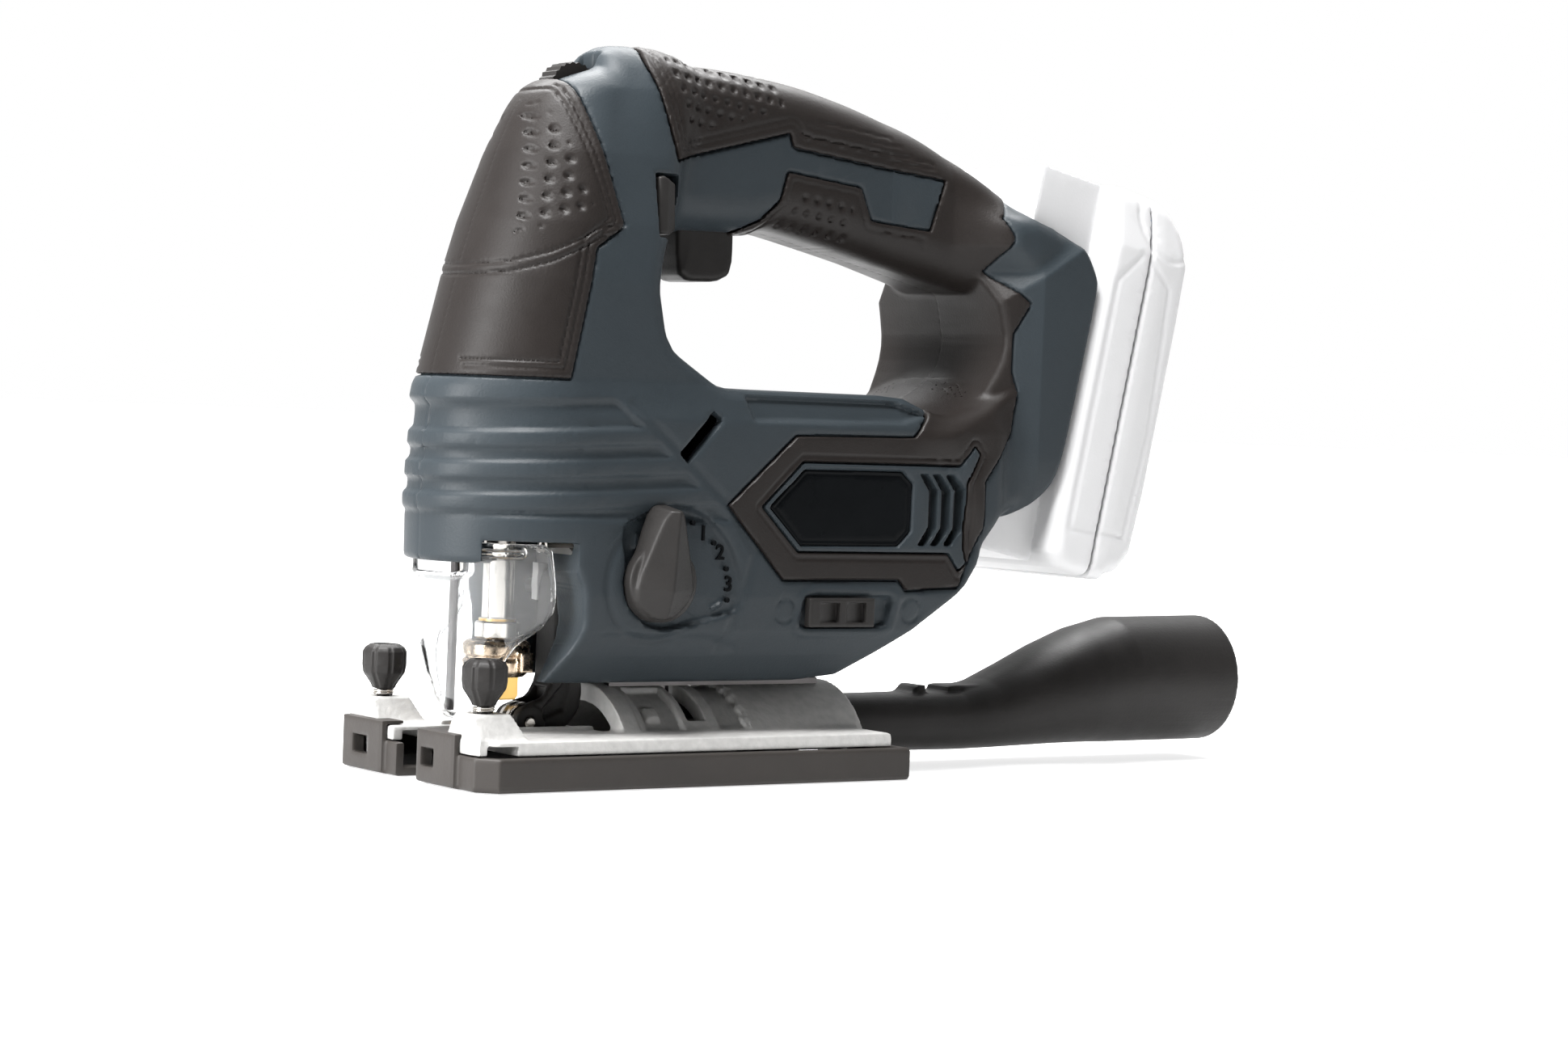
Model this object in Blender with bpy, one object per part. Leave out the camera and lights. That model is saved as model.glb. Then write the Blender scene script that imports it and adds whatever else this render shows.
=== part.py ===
"""Cordless orbital jigsaw with a removable battery, as an assembly of separate solids.

Lengths here are millimetres from the middle of the sole's front edge: the saw cuts towards -X,
+Y is the tool's right side, +Z is up and the sole rests on z = 0. The helpers build in metres,
with the world's origin at the centre of the sole's underside.
"""
import math

import bmesh
import bpy
from mathutils import Matrix, Vector

MM = 0.001
GAP = 0.3                      # running gap between neighbouring solids

# Driving dimensions, in millimetres
SOLE_LENGTH = 137.0
SOLE_HALF = 39.5
SOLE_TOP = 9.0
ORIGIN = Vector((SOLE_LENGTH / 2, 0.0, 0.0))
PLATE_TOP = 13.0
BODY_HALF = 31.5
NOSE_HALF = 28.5
HANDLE_HALF = 16.5
FOOT_HALF = 34.0
WALL = 2.6
BODY_FLOOR = 26.3
PARTING = 0.15
RUBBER = 1.8                   # thickness of the soft overmould

PLUNGER_X = 26.0
PLUNGER_R = 4.2
STROKE = 22.0
GEAR_MODULE = 1.0
GEAR_TEETH = 48
PINION_TEETH = 8
MOTOR_Z = 66.0
CENTRE_DISTANCE = GEAR_MODULE * (GEAR_TEETH + PINION_TEETH) / 2
GEAR_Z = MOTOR_Z + CENTRE_DISTANCE
CRANK = STROKE / 2
YOKE_Z = GEAR_Z - CRANK

FORK_PIVOT = (46.0, 52.0)
ROLLER_CENTRE = (34.0, 14.6)
ROLLER_R = 5.3
ORBIT_CENTRE = (56.5, 54.0)
DIAL_CENTRE = (42.0, 184.5)
ARCH_R = 23.5
ARCH_WALL = 3.8
ARCH_FRONT = 54.0
ARCH_REAR = 133.0
BOSS_Y = 26.7
BOSS_X = 7.0
NOZZLE_END = 278.5

# The battery rail: origin on the foot's rear face, leaning back by RAIL_TILT
RAIL_TILT = math.radians(11.6)
RAIL_ORIGIN = Vector((194.0, 0.0, 95.0))
RAIL_UP = Vector((math.sin(RAIL_TILT), 0.0, math.cos(RAIL_TILT)))
RAIL_BACK = Vector((math.cos(RAIL_TILT), 0.0, -math.sin(RAIL_TILT)))
PACK_LOW = -36.0
PACK_HIGH = 78.0
PACK_BACK = 34.0
PACK_HALF = 34.5
TONGUE_DEPTH = 21.5
TONGUE_HALF = 24.6
CHANNEL_HALF = 25.2
CHANNEL_DEPTH = 22.2
CONTACTS_Y = (-12.0, -4.0, 4.0, 12.0)

# Side outlines (x, z)
BODY_OUTLINE = [(1, 58), (1.6, 80), (3, 106.5), (30, 111), (60, 117), (63, 112), (78, 105.5),
                (138, 106.5), (150, 100), (165.5, 98), (165.5, 72), (160, 52.5), (141, 39),
                (121, BODY_FLOOR), (30, BODY_FLOOR), (34.5, 38), (34.5, 52), (31, 58)]
NOSE_OUTLINE = [(3.2, 104), (9.5, 132.6), (14, 148.4), (21, 167), (28.6, 185), (38, 191.5),
                (52, 197.5), (60, 195.3), (66, 172), (62, 145), (58, 130), (60, 114), (40, 100)]
HANDLE_OUTLINE = [(52, 150), (55, 196), (70, 193.5), (86, 193.3), (103, 191.9), (115, 190.6),
                  (132, 187.4), (152, 181.6), (171, 171.5), (184, 162.5), (180.5, 149), (171, 134),
                  (160, 139.3), (135, 145), (106, 150.8), (96, 149.5), (75, 148.3)]
FOOT_OUTLINE = [(160, 139.3), (168.5, 158), (187, 157.3), (198.5, 151.5), (203.4, 142.3),
                (203, 137.5), (194, 95), (190, 83), (181, 74.5), (173, 71.6), (163.5, 71),
                (163.5, 98), (161, 107.8), (170.5, 116.4), (173, 128), (171, 135)]
NOSE_GRIP = [(9, 108.5), (15.5, 132), (20, 147.5), (26, 163), (33, 180), (34.5, 187), (44, 150),
             (43.5, 147), (36, 142), (29.5, 108)]
HANDLE_GRIP = [(108, 155), (110, 168), (131, 171), (136, 162), (156, 162), (160, 152), (140, 150)]
REAR_GRIP = [(80, 75), (100, 92), (140, 92.5), (148, 97), (160, 95), (157.5, 60), (97, 56.5)]
LABEL = [(91, 74.6), (102.9, 86), (154, 86), (154, 63.5), (101.2, 63.5)]
TRIGGER_OUTLINE = [(74.3, 158), (93.5, 158), (93.6, 140), (91, 135.6), (78, 135.2), (75.2, 138)]
FORK_OUTLINE = [(29.4, 12.5), (31.2, 9.9), (34, 9.2), (41, 10), (48, 15), (51, 22), (49.2, 42),
                (49.2, 52), (48.4, 55), (46, 56.4), (42.4, 54.5), (41.4, 50), (41.2, 26), (39, 21),
                (34.5, 20), (30.6, 18.4)]

MATERIALS = {
    "housing": ((0.075, 0.098, 0.115), 0.5, 0.0),
    "rubber": ((0.036, 0.033, 0.032), 0.65, 0.0),
    "black_plastic": ((0.022, 0.022, 0.023), 0.42, 0.0),
    "sole_plastic": ((0.045, 0.042, 0.038), 0.5, 0.0),
    "aluminium": ((0.62, 0.62, 0.61), 0.42, 1.0),
    "steel": ((0.55, 0.53, 0.50), 0.28, 1.0),
    "dark_steel": ((0.16, 0.15, 0.15), 0.4, 1.0),
    "bronze": ((0.50, 0.33, 0.15), 0.35, 1.0),
    "copper": ((0.60, 0.27, 0.12), 0.35, 1.0),
    "clear": ((0.85, 0.88, 0.90), 0.08, 0.0),
    "pack": ((0.72, 0.73, 0.74), 0.4, 0.0),
    "board": ((0.03, 0.16, 0.07), 0.5, 0.0),
    "cell": ((0.08, 0.22, 0.40), 0.4, 0.0),
}


# Scene and mesh helpers ---------------------------------------------------------------------

def clear_scene():
    for thing in list(bpy.data.objects):
        bpy.data.objects.remove(thing, do_unlink=True)


def material(name):
    found = bpy.data.materials.get(name)
    if found:
        return found
    colour, roughness, metallic = MATERIALS[name]
    found = bpy.data.materials.new(name)
    found.use_nodes = True
    shader = found.node_tree.nodes["Principled BSDF"]
    shader.inputs["Base Color"].default_value = (*colour, 1.0)
    shader.inputs["Roughness"].default_value = roughness
    shader.inputs["Metallic"].default_value = metallic
    found.diffuse_color = (*colour, 1.0)
    return found


def solid(name, points, faces, finish=None):
    """A closed mesh from points in millimetres; without a finish it is a hidden cutter."""
    mesh = bpy.data.meshes.new(name)
    mesh.from_pydata([(Vector(p) - ORIGIN) * MM for p in points], [], faces)
    work = bmesh.new()
    work.from_mesh(mesh)
    bmesh.ops.recalc_face_normals(work, faces=work.faces)
    work.to_mesh(mesh)
    work.free()
    thing = bpy.data.objects.new(name, mesh)
    bpy.context.scene.collection.objects.link(thing)
    if finish:
        mesh.materials.append(material(finish))
        mesh.shade_smooth()
        mesh.set_sharp_from_angle(angle=math.radians(35))
    else:
        hide(thing)
    return thing


def hide(thing):
    thing.hide_render = True
    thing.display_type = "WIRE"


def loft(name, rings, finish=None, closed=False):
    """Join rings of equal length; open ends are capped, a closed loft joins last to first."""
    count = len(rings[0])
    points = [p for ring in rings for p in ring]
    faces = []
    spans = len(rings) if closed else len(rings) - 1
    for i in range(spans):
        a = i * count
        b = ((i + 1) % len(rings)) * count
        faces += [(a + j, a + (j + 1) % count, b + (j + 1) % count, b + j) for j in range(count)]
    if not closed:
        faces += [tuple(range(count)), tuple(range(len(points) - count, len(points)))]
    return solid(name, points, faces, finish)


def plate(name, outline, y0, y1, finish=None):
    return loft(name, [[(x, y, z) for x, z in outline] for y in (y0, y1)], finish)


def block(name, low, high, finish=None):
    corners = [(low[0], low[2]), (high[0], low[2]), (high[0], high[2]), (low[0], high[2])]
    return plate(name, corners, low[1], high[1], finish)


def inset(outline, distance):
    """Move each edge of an outline inwards and meet them again at the corners."""
    count = len(outline)
    area = sum(outline[i - 1][0] * outline[i][1] - outline[i][0] * outline[i - 1][1]
               for i in range(count))
    turn = 1.0 if area > 0 else -1.0
    result = []
    for i in range(count):
        before, here, after = (Vector(outline[k % count]) for k in (i - 1, i, i + 1))
        a = (here - before).normalized()
        b = (after - here).normalized()
        na = Vector((-a.y, a.x)) * turn
        nb = Vector((-b.y, b.x)) * turn
        middle = (na + nb).normalized()
        reach = distance / max(0.35, middle.dot(na))
        result.append(tuple(here + middle * reach))
    return result


def crowned_half(name, outline, half, chamfer, side, finish=None, start=PARTING):
    """One half of a casing: flat on the parting plane, its outer edge drawn in by a chamfer."""
    levels = [(start, outline), (half - chamfer, outline), (half, inset(outline, chamfer))]
    return loft(name, [[(x, side * y, z) for x, z in shape] for y, shape in levels], finish)


def frame_for(axis):
    """Two unit vectors square to an axis."""
    axis = Vector(axis).normalized()
    side = Vector((0, 0, 1)) if abs(axis.z) < 0.9 else Vector((1, 0, 0))
    u = side.cross(axis).normalized()
    return axis, u, axis.cross(u)


def circle(centre, axis, radius, segments):
    _, u, v = frame_for(axis)
    turn = 2 * math.pi / segments
    return [Vector(centre) + radius * (math.cos(i * turn) * u + math.sin(i * turn) * v)
            for i in range(segments)]


def turned(name, base, axis, profile, finish=None, segments=24):
    """A turned solid: profile is (distance along the axis, radius) from end to end."""
    direction = Vector(axis).normalized()
    rings = [circle(Vector(base) + direction * along, axis, radius, segments)
             for along, radius in profile]
    return loft(name, rings, finish)


def rod(name, start, end, radius, finish=None, segments=20):
    length = (Vector(end) - Vector(start)).length
    axis = Vector(end) - Vector(start)
    return turned(name, start, axis, [(0, radius), (length, radius)], finish, segments)


def ring(name, base, axis, length, outer, inner, finish=None, segments=24):
    """A plain bush or bearing ring."""
    direction = Vector(axis).normalized()
    loop = [(0, outer), (length, outer), (length, inner), (0, inner)]
    rings = [circle(Vector(base) + direction * along, axis, radius, segments)
             for along, radius in loop]
    return loft(name, rings, finish, closed=True)


def boolean(target, others, operation):
    for other in others:
        hide(other)
        step = target.modifiers.new(other.name, "BOOLEAN")
        step.operation = operation
        step.solver = "EXACT"
        step.object = other
    return target


def cut(target, *others):
    return boolean(target, others, "DIFFERENCE")


def fuse(target, *others):
    return boolean(target, others, "UNION")


def rail_point(along, back, y):
    """A point given along the battery rail, behind the foot's rear face, and across."""
    return RAIL_ORIGIN + RAIL_UP * along + RAIL_BACK * back + Vector((0, y, 0))


def rail_block(name, along, back, across, finish=None, trim=0.0):
    """A box in the battery's leaning frame, with its four long corners trimmed."""
    (s0, s1), (t0, t1), (y0, y1) = along, back, across
    shape = [(s0, t0), (s1, t0), (s1, t1 - trim), (s1 - trim, t1), (s0 + trim, t1), (s0, t1 - trim)]
    if not trim:
        shape = [(s0, t0), (s1, t0), (s1, t1), (s0, t1)]
    return loft(name, [[rail_point(s, t, y) for s, t in shape] for y in (y0, y1)], finish)


# Casing -------------------------------------------------------------------------------------

# Screws across the parting plane: (x, z, half width of the casing there)
CASING_SCREWS = [(13.5, 117.0, NOSE_HALF), (84.0, 97.5, BODY_HALF), (100.0, 34.0, BODY_HALF),
                 (104.0, 183.5, HANDLE_HALF)]
HEAD_DEPTH = 6.0               # how far a screw's seat lies under the casing's side


def casing_half(name, side):
    """One half shell, hollow, with its screw bosses and the openings for everything inside."""
    shell = crowned_half(name, BODY_OUTLINE, BODY_HALF, 8.0, side, "housing")
    fuse(shell,
         crowned_half(name + "_nose", NOSE_OUTLINE, NOSE_HALF, 8.0, side),
         crowned_half(name + "_handle", HANDLE_OUTLINE, HANDLE_HALF, 6.0, side),
         crowned_half(name + "_foot", FOOT_OUTLINE, FOOT_HALF, 4.0, side))
    for tag, outline, half in (("body", BODY_OUTLINE, BODY_HALF), ("nose", NOSE_OUTLINE, NOSE_HALF),
                               ("handle", HANDLE_OUTLINE, HANDLE_HALF)):
        chamfer = 6.0 if tag == "handle" else 8.0
        cut(shell, crowned_half(f"{name}_{tag}_room", inset(outline, WALL), half - WALL,
                                chamfer - 1, side, start=-1.0))
    for number, (x, z, half) in enumerate(CASING_SCREWS):
        fuse(shell, rod(f"{name}_boss_{number}", (x, side * PARTING, z),
                        (x, side * (half - 1.5), z), 3.6, segments=12))
    cut(shell,
        block(name + "_front_bay", (15, -16, 18), (41, 16, 66)),
        block(name + "_fork_bay", (30, -12, 20), (55, 12, 40)),
        block(name + "_trigger_bay", (73.6, -8, 130), (94.4, 8, 152.5)),
        block(name + "_dial_slot", (33, -4.4, 180), (51, 4.4, 199)),
        rail_block(name + "_channel", (-60, 110), (-CHANNEL_DEPTH, 60),
                   (-CHANNEL_HALF, CHANNEL_HALF)),
        rail_block(name + "_terminal_bay", (-29, -1), (-31, -20), (-16.5, 16.5)),
        rod(name + "_tilt_screw_hole", (79, 0, 20), (79, 0, 40), 3.2, segments=16),
        rod(name + "_guard_rod_hole", (12.5, 0, 50), (12.5, 0, 70), 1.2 + GAP, segments=12))
    notch = (side * 40, side * 15)
    cut(shell, block(name + "_notch", (8.5, min(notch), 50), (31.5, max(notch), 64)))
    for number, x in enumerate((145.0, 150.0)):
        vent = (side * 20, side * 40)
        cut(shell, block(f"{name}_vent_{number}", (x, min(vent), 66), (x + 2.2, max(vent), 83)))
    for number, (x, z, half) in enumerate(CASING_SCREWS):
        cut(shell, rod(f"{name}_bore_{number}", (x, 0, z), (x, side * (half - 4), z), 1.6,
                       segments=12))
    return shell


def casing():
    left = casing_half("housing_left", -1)
    right = casing_half("housing_right", 1)
    x, z = ORBIT_CENTRE
    cut(left,
        rod("orbit_recess", (x, -40, z), (x, -30.3, z), 15.0, segments=28),
        rod("orbit_hole", (x, -40, z), (x, -20, z), 3.4, segments=16),
        block("slider_recess", (103.8, -40, 41.2), (135.2, -30.4, 50.8)),
        block("lock_hole", (56.2, -30, 146.2), (64.3, -3.5, 162.3)))
    for number, (x, z, half) in enumerate(CASING_SCREWS):
        cut(right, rod(f"head_well_{number}", (x, half - HEAD_DEPTH, z), (x, 45, z), 3.0,
                       segments=16))
        tip = -(half - HEAD_DEPTH - 2)
        reach = half - HEAD_DEPTH + GAP - tip
        turned(f"casing_screw_{number + 1}", (x, tip, z), (0, 1, 0),
               [(0, 1.3), (reach, 1.3), (reach, 2.7), (reach + 2, 2.5)], "dark_steel", 12)


def grips():
    """Soft overmoulds, one solid on each side, and the strip along the handle's back."""
    for tag, side in (("left", -1), ("right", 1)):
        for name, outline, half in (("nose_grip", NOSE_GRIP, NOSE_HALF),
                                    ("handle_grip", HANDLE_GRIP, HANDLE_HALF),
                                    ("rear_grip", REAR_GRIP, BODY_HALF)):
            skin = plate(f"{name}_{tag}", outline, side * (half + GAP), side * (half + RUBBER),
                         "rubber")
            if name == "rear_grip":
                cut(skin, plate(f"label_window_{tag}", inset(LABEL, -GAP), side * 25, side * 40))
        plate(f"label_plate_{tag}", LABEL, side * (BODY_HALF + GAP), side * (BODY_HALF + RUBBER),
              "black_plastic")
    under = [(62, 195.2), (70, 193.8), (86, 193.6), (103, 192.2), (115, 190.9), (132, 187.7),
             (152, 181.9), (166, 174.6)]
    over = [(x + 0.3, z + RUBBER) for x, z in reversed(under)]
    plate("handle_grip_top", under + over, -9, 9, "rubber")


# Drive --------------------------------------------------------------------------------------

def tooth_outline(teeth):
    """Straight-sided teeth as (angle, radius) points; the gaps are wider than the teeth."""
    pitch_r = GEAR_MODULE * teeth / 2
    root, tip = pitch_r - 1.15 * GEAR_MODULE, pitch_r + 0.75 * GEAR_MODULE
    step = 2 * math.pi / teeth
    root_half = step * 0.27
    tip_half = min(step * 0.12, 0.42 * GEAR_MODULE / tip)
    points = []
    for i in range(teeth):
        middle = i * step
        points += [(middle - root_half, root), (middle - tip_half, tip),
                   (middle + tip_half, tip), (middle + root_half, root)]
    return points


def gear_rings(teeth, centre_z, xs, turn):
    shape = tooth_outline(teeth)
    return [[(x, r * math.sin(a + turn), centre_z + r * math.cos(a + turn)) for a, r in shape]
            for x in xs]


def drive():
    frame = block("gearbox_frame", (50, -20, 46), (53, 20, 110), "aluminium")
    fuse(frame, block("frame_neck", (50, -12.5, 108), (53, 12.5, 127)),
         block("frame_arm", (17, -11, 121.5), (51, 11, 128)))
    for tag, side in (("left", -1), ("right", 1)):
        ear = (side * 6.2, side * 9.2)
        fuse(frame, block(f"frame_ear_{tag}", (42, min(ear), 47), (51, max(ear), 57)))
        fuse(frame, turned(f"frame_foot_{tag}", (52, side * 20, 50), (0, side, 0),
                           [(0, 2.0), (6.5, 2.0)], segments=12))
    cut(frame,
        rod("pinion_pass", (45, 0, MOTOR_Z), (60, 0, MOTOR_Z), 6.0),
        rod("axle_seat", (45, 0, GEAR_Z), (60, 0, GEAR_Z), 3.0 + GAP),
        rod("upper_seat", (PLUNGER_X, 0, 110), (PLUNGER_X, 0, 140), 7.3),
        rod("fork_pin_seat", (FORK_PIVOT[0], -12, FORK_PIVOT[1]),
            (FORK_PIVOT[0], 12, FORK_PIVOT[1]), 1.6 + GAP, segments=16))
    ring("upper_bush", (PLUNGER_X, 0, 120.5), (0, 0, 1), 8.5, 7.0, PLUNGER_R + GAP, "bronze")
    guide = block("guide_block", (16.5, -18, 67), (37, 18, 74), "aluminium")
    cut(guide, rod("lower_seat", (PLUNGER_X, 0, 60), (PLUNGER_X, 0, 80), 7.3))
    ring("lower_bush", (PLUNGER_X, 0, 66.5), (0, 0, 1), 8.0, 7.0, PLUNGER_R + GAP, "bronze")
    rod("gear_axle", (38.5, 0, GEAR_Z), (54.5, 0, GEAR_Z), 3.0, "steel")
    gear = loft("drive_gear", gear_rings(GEAR_TEETH, GEAR_Z, (40.0, 47.5), 0.0), "steel")
    fuse(gear, rod("crank_pin", (33.7, 0, YOKE_Z), (40.5, 0, YOKE_Z), 3.4, segments=16))
    cut(gear, rod("gear_bore", (30, 0, GEAR_Z), (60, 0, GEAR_Z), 3.0 + GAP))


def motor():
    can = ring("motor_can", (58, 0, MOTOR_Z), (1, 0, 0), 58, 20.5, 18.7, "dark_steel", 32)
    fuse(can, ring("can_front", (56, 0, MOTOR_Z), (1, 0, 0), 3, 20.0, 5.8, None, 32))
    ring("front_bearing", (55.6, 0, MOTOR_Z), (1, 0, 0), 4, 5.5, 2.8, "steel")
    cap = turned("brush_cap", (116.3, 0, MOTOR_Z), (1, 0, 0), [(0, 20.3), (6, 20.3), (8, 12)],
                 "black_plastic", 32)
    cut(cap, rod("cap_bore", (110, 0, MOTOR_Z), (130, 0, MOTOR_Z), 5.8),
        ring("cap_hollow", (115, 0, MOTOR_Z), (1, 0, 0), 5, 18.0, 9.0, None, 24))
    ring("rear_bearing", (119.5, 0, MOTOR_Z), (1, 0, 0), 4, 5.5, 2.8, "steel")
    half_tooth = math.pi / PINION_TEETH
    pinion = loft("rotor_shaft", gear_rings(PINION_TEETH, MOTOR_Z, (39.5, 48.5), half_tooth), "steel")
    fuse(pinion, rod("shaft_core", (48, 0, MOTOR_Z), (136, 0, MOTOR_Z), 2.5, segments=16))
    ring("armature", (64, 0, MOTOR_Z), (1, 0, 0), 44, 16.0, 2.8, "copper", 16)
    fan = ring("cooling_fan", (127, 0, MOTOR_Z), (1, 0, 0), 2.5, 19.0, 2.8, "black_plastic", 24)
    blades = 9
    for number in range(blades):
        turn = Matrix.Rotation(2 * math.pi * number / blades, 3, "X")
        corners = [(0.6, 6), (-0.6, 6), (-0.6, 18.5), (0.6, 18.5)]
        rings = [[turn @ Vector((x, y, z)) + Vector((0, 0, MOTOR_Z)) for y, z in corners]
                 for x in (129.0, 135.0)]
        fuse(fan, loft(f"fan_blade_{number}", rings))


def plunger():
    shaft = turned("plunger", (PLUNGER_X, 0, 22), (0, 0, 1),
                   [(0, 1.8), (15, 1.8), (15, 5.9), (19.7, 5.9), (19.7, PLUNGER_R),
                    (111, PLUNGER_R), (112, 3.4)], "steel")
    fuse(shaft, block("blade_jaw", (24.6, -4.2, 23), (28.6, 4.2, 26.6)))
    clamp = turned("clamp_ring", (PLUNGER_X, 0, 27), (0, 0, 1),
                   [(0, 8.2), (1, 9.1), (8.6, 9.1), (9.6, 7.6)], "bronze", 28)
    fuse(clamp, block("clamp_lever", (27, -11.5, 28.5), (31, -4, 34)))
    cut(clamp, rod("clamp_bore", (PLUNGER_X, 0, 20), (PLUNGER_X, 0, 40), 2.1))
    yoke = block("plunger_yoke", (30.5, -19, YOKE_Z - 7.2), (33.1, 19, YOKE_Z + 7.2), "steel")
    cut(yoke, block("yoke_slot", (28, -15.2, YOKE_Z - 3.9), (36, 15.2, YOKE_Z + 3.9)))
    rod("guard_rod", (12.5, 0, 18.3), (12.5, 0, 62.0), 1.2, "dark_steel", 12)


def orbital():
    x, z = ROLLER_CENTRE
    fork = plate("pendulum_fork", FORK_OUTLINE, -5.4, 5.4, "black_plastic")
    cut(fork,
        block("roller_gap", (26, -3.1, 5), (41, 3.1, 24)),
        rod("roller_pin_hole", (x, -8, z), (x, 8, z), 1.6 + GAP / 2, segments=16),
        rod("fork_pin_hole", (FORK_PIVOT[0], -8, FORK_PIVOT[1]), (FORK_PIVOT[0], 8, FORK_PIVOT[1]),
            1.6 + GAP, segments=16))
    rod("fork_pin", (FORK_PIVOT[0], -10.5, FORK_PIVOT[1]), (FORK_PIVOT[0], 10.5, FORK_PIVOT[1]),
        1.6, "steel", 16)
    ring("guide_roller", (x, -2.7, z), (0, 1, 0), 5.4, ROLLER_R, 1.6 + GAP, "steel", 28)
    rod("roller_pin", (x, -5.3, z), (x, 5.3, z), 1.6, "steel", 16)
    x, z = ORBIT_CENTRE
    knob = turned("orbit_knob", (x, -30.6, z), (0, -1, 0), [(0, 10.5), (5, 10.5), (9, 8.5)],
                  "black_plastic", 28)
    pointer = [(x - 7.5, z + 4), (x - 2, z + 20), (x + 2, z + 20), (x + 7.5, z + 4),
               (x + 5, z - 9), (x - 5, z - 9)]
    fuse(knob, plate("orbit_pointer", pointer, -39.8, -32.0))
    rod("orbit_cam", (x, -30.3, z), (x, -20.5, z), 3.0, "black_plastic", 16)


def controls():
    x, z = DIAL_CENTRE
    teeth = 24
    rim = []
    for i in range(teeth * 2):
        radius = 7.6 if i % 2 else 7.1
        angle = math.pi * i / teeth
        rim.append((x + radius * math.cos(angle), z + radius * math.sin(angle)))
    plate("speed_dial", rim, -3.6, 3.6, "black_plastic")
    block("control_board", (108, -8, 160), (140, 8, 162), "board")
    plate("trigger", TRIGGER_OUTLINE, -7, 7, "black_plastic")
    block("trigger_switch", (70, -9, 164), (99, 9, 180), "black_plastic")
    lock = block("lock_button", (56.6, -21.5, 146.6), (63.9, -8, 161.9), "black_plastic")
    cut(lock, block("lock_relief", (52, -30, 158), (58, -17, 166)))
    slider = block("blower_slider", (105, -33.4, 42.0), (127.5, -30.7, 50.0), "black_plastic")
    for number, x in enumerate((109.5, 119.0)):
        cut(slider, block(f"slider_dent_{number}", (x, -36, 44), (x + 6, -32.4, 48)))
    holder = rail_block("terminal_block", (-28, -2), (-30.2, -22.5), (-16, 16), "black_plastic")
    for number, y in enumerate(CONTACTS_Y):
        fuse(holder, rail_block(f"blade_{number}", (-24, -8), (-23.5, -15.5), (y - 0.4, y + 0.4)))


# Base ---------------------------------------------------------------------------------------

def arch_profile(outer, inner, segments=20):
    """A half ring across the tool, standing on z = 0."""
    angles = [math.pi * i / segments for i in range(segments + 1)]
    return ([(outer * math.cos(a), outer * math.sin(a)) for a in angles]
            + [(inner * math.cos(a), inner * math.sin(a)) for a in reversed(angles)])


def bow(radius, sweep, steps):
    """(y, z) points along an arc over the tool's centre line, from -sweep to +sweep."""
    angles = [sweep * k / steps for k in range(-steps, steps + 1)]
    return [(radius * math.sin(a), radius * math.cos(a)) for a in angles]


def band(outer, inner, sweep, steps):
    return bow(outer, sweep, steps) + bow(inner, sweep, steps)[::-1]


def across(name, profile, x0, x1, finish=None):
    """A profile of (y, z) points carried along X."""
    return loft(name, [[(x, y, z) for y, z in profile] for x in (x0, x1)], finish)


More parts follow.
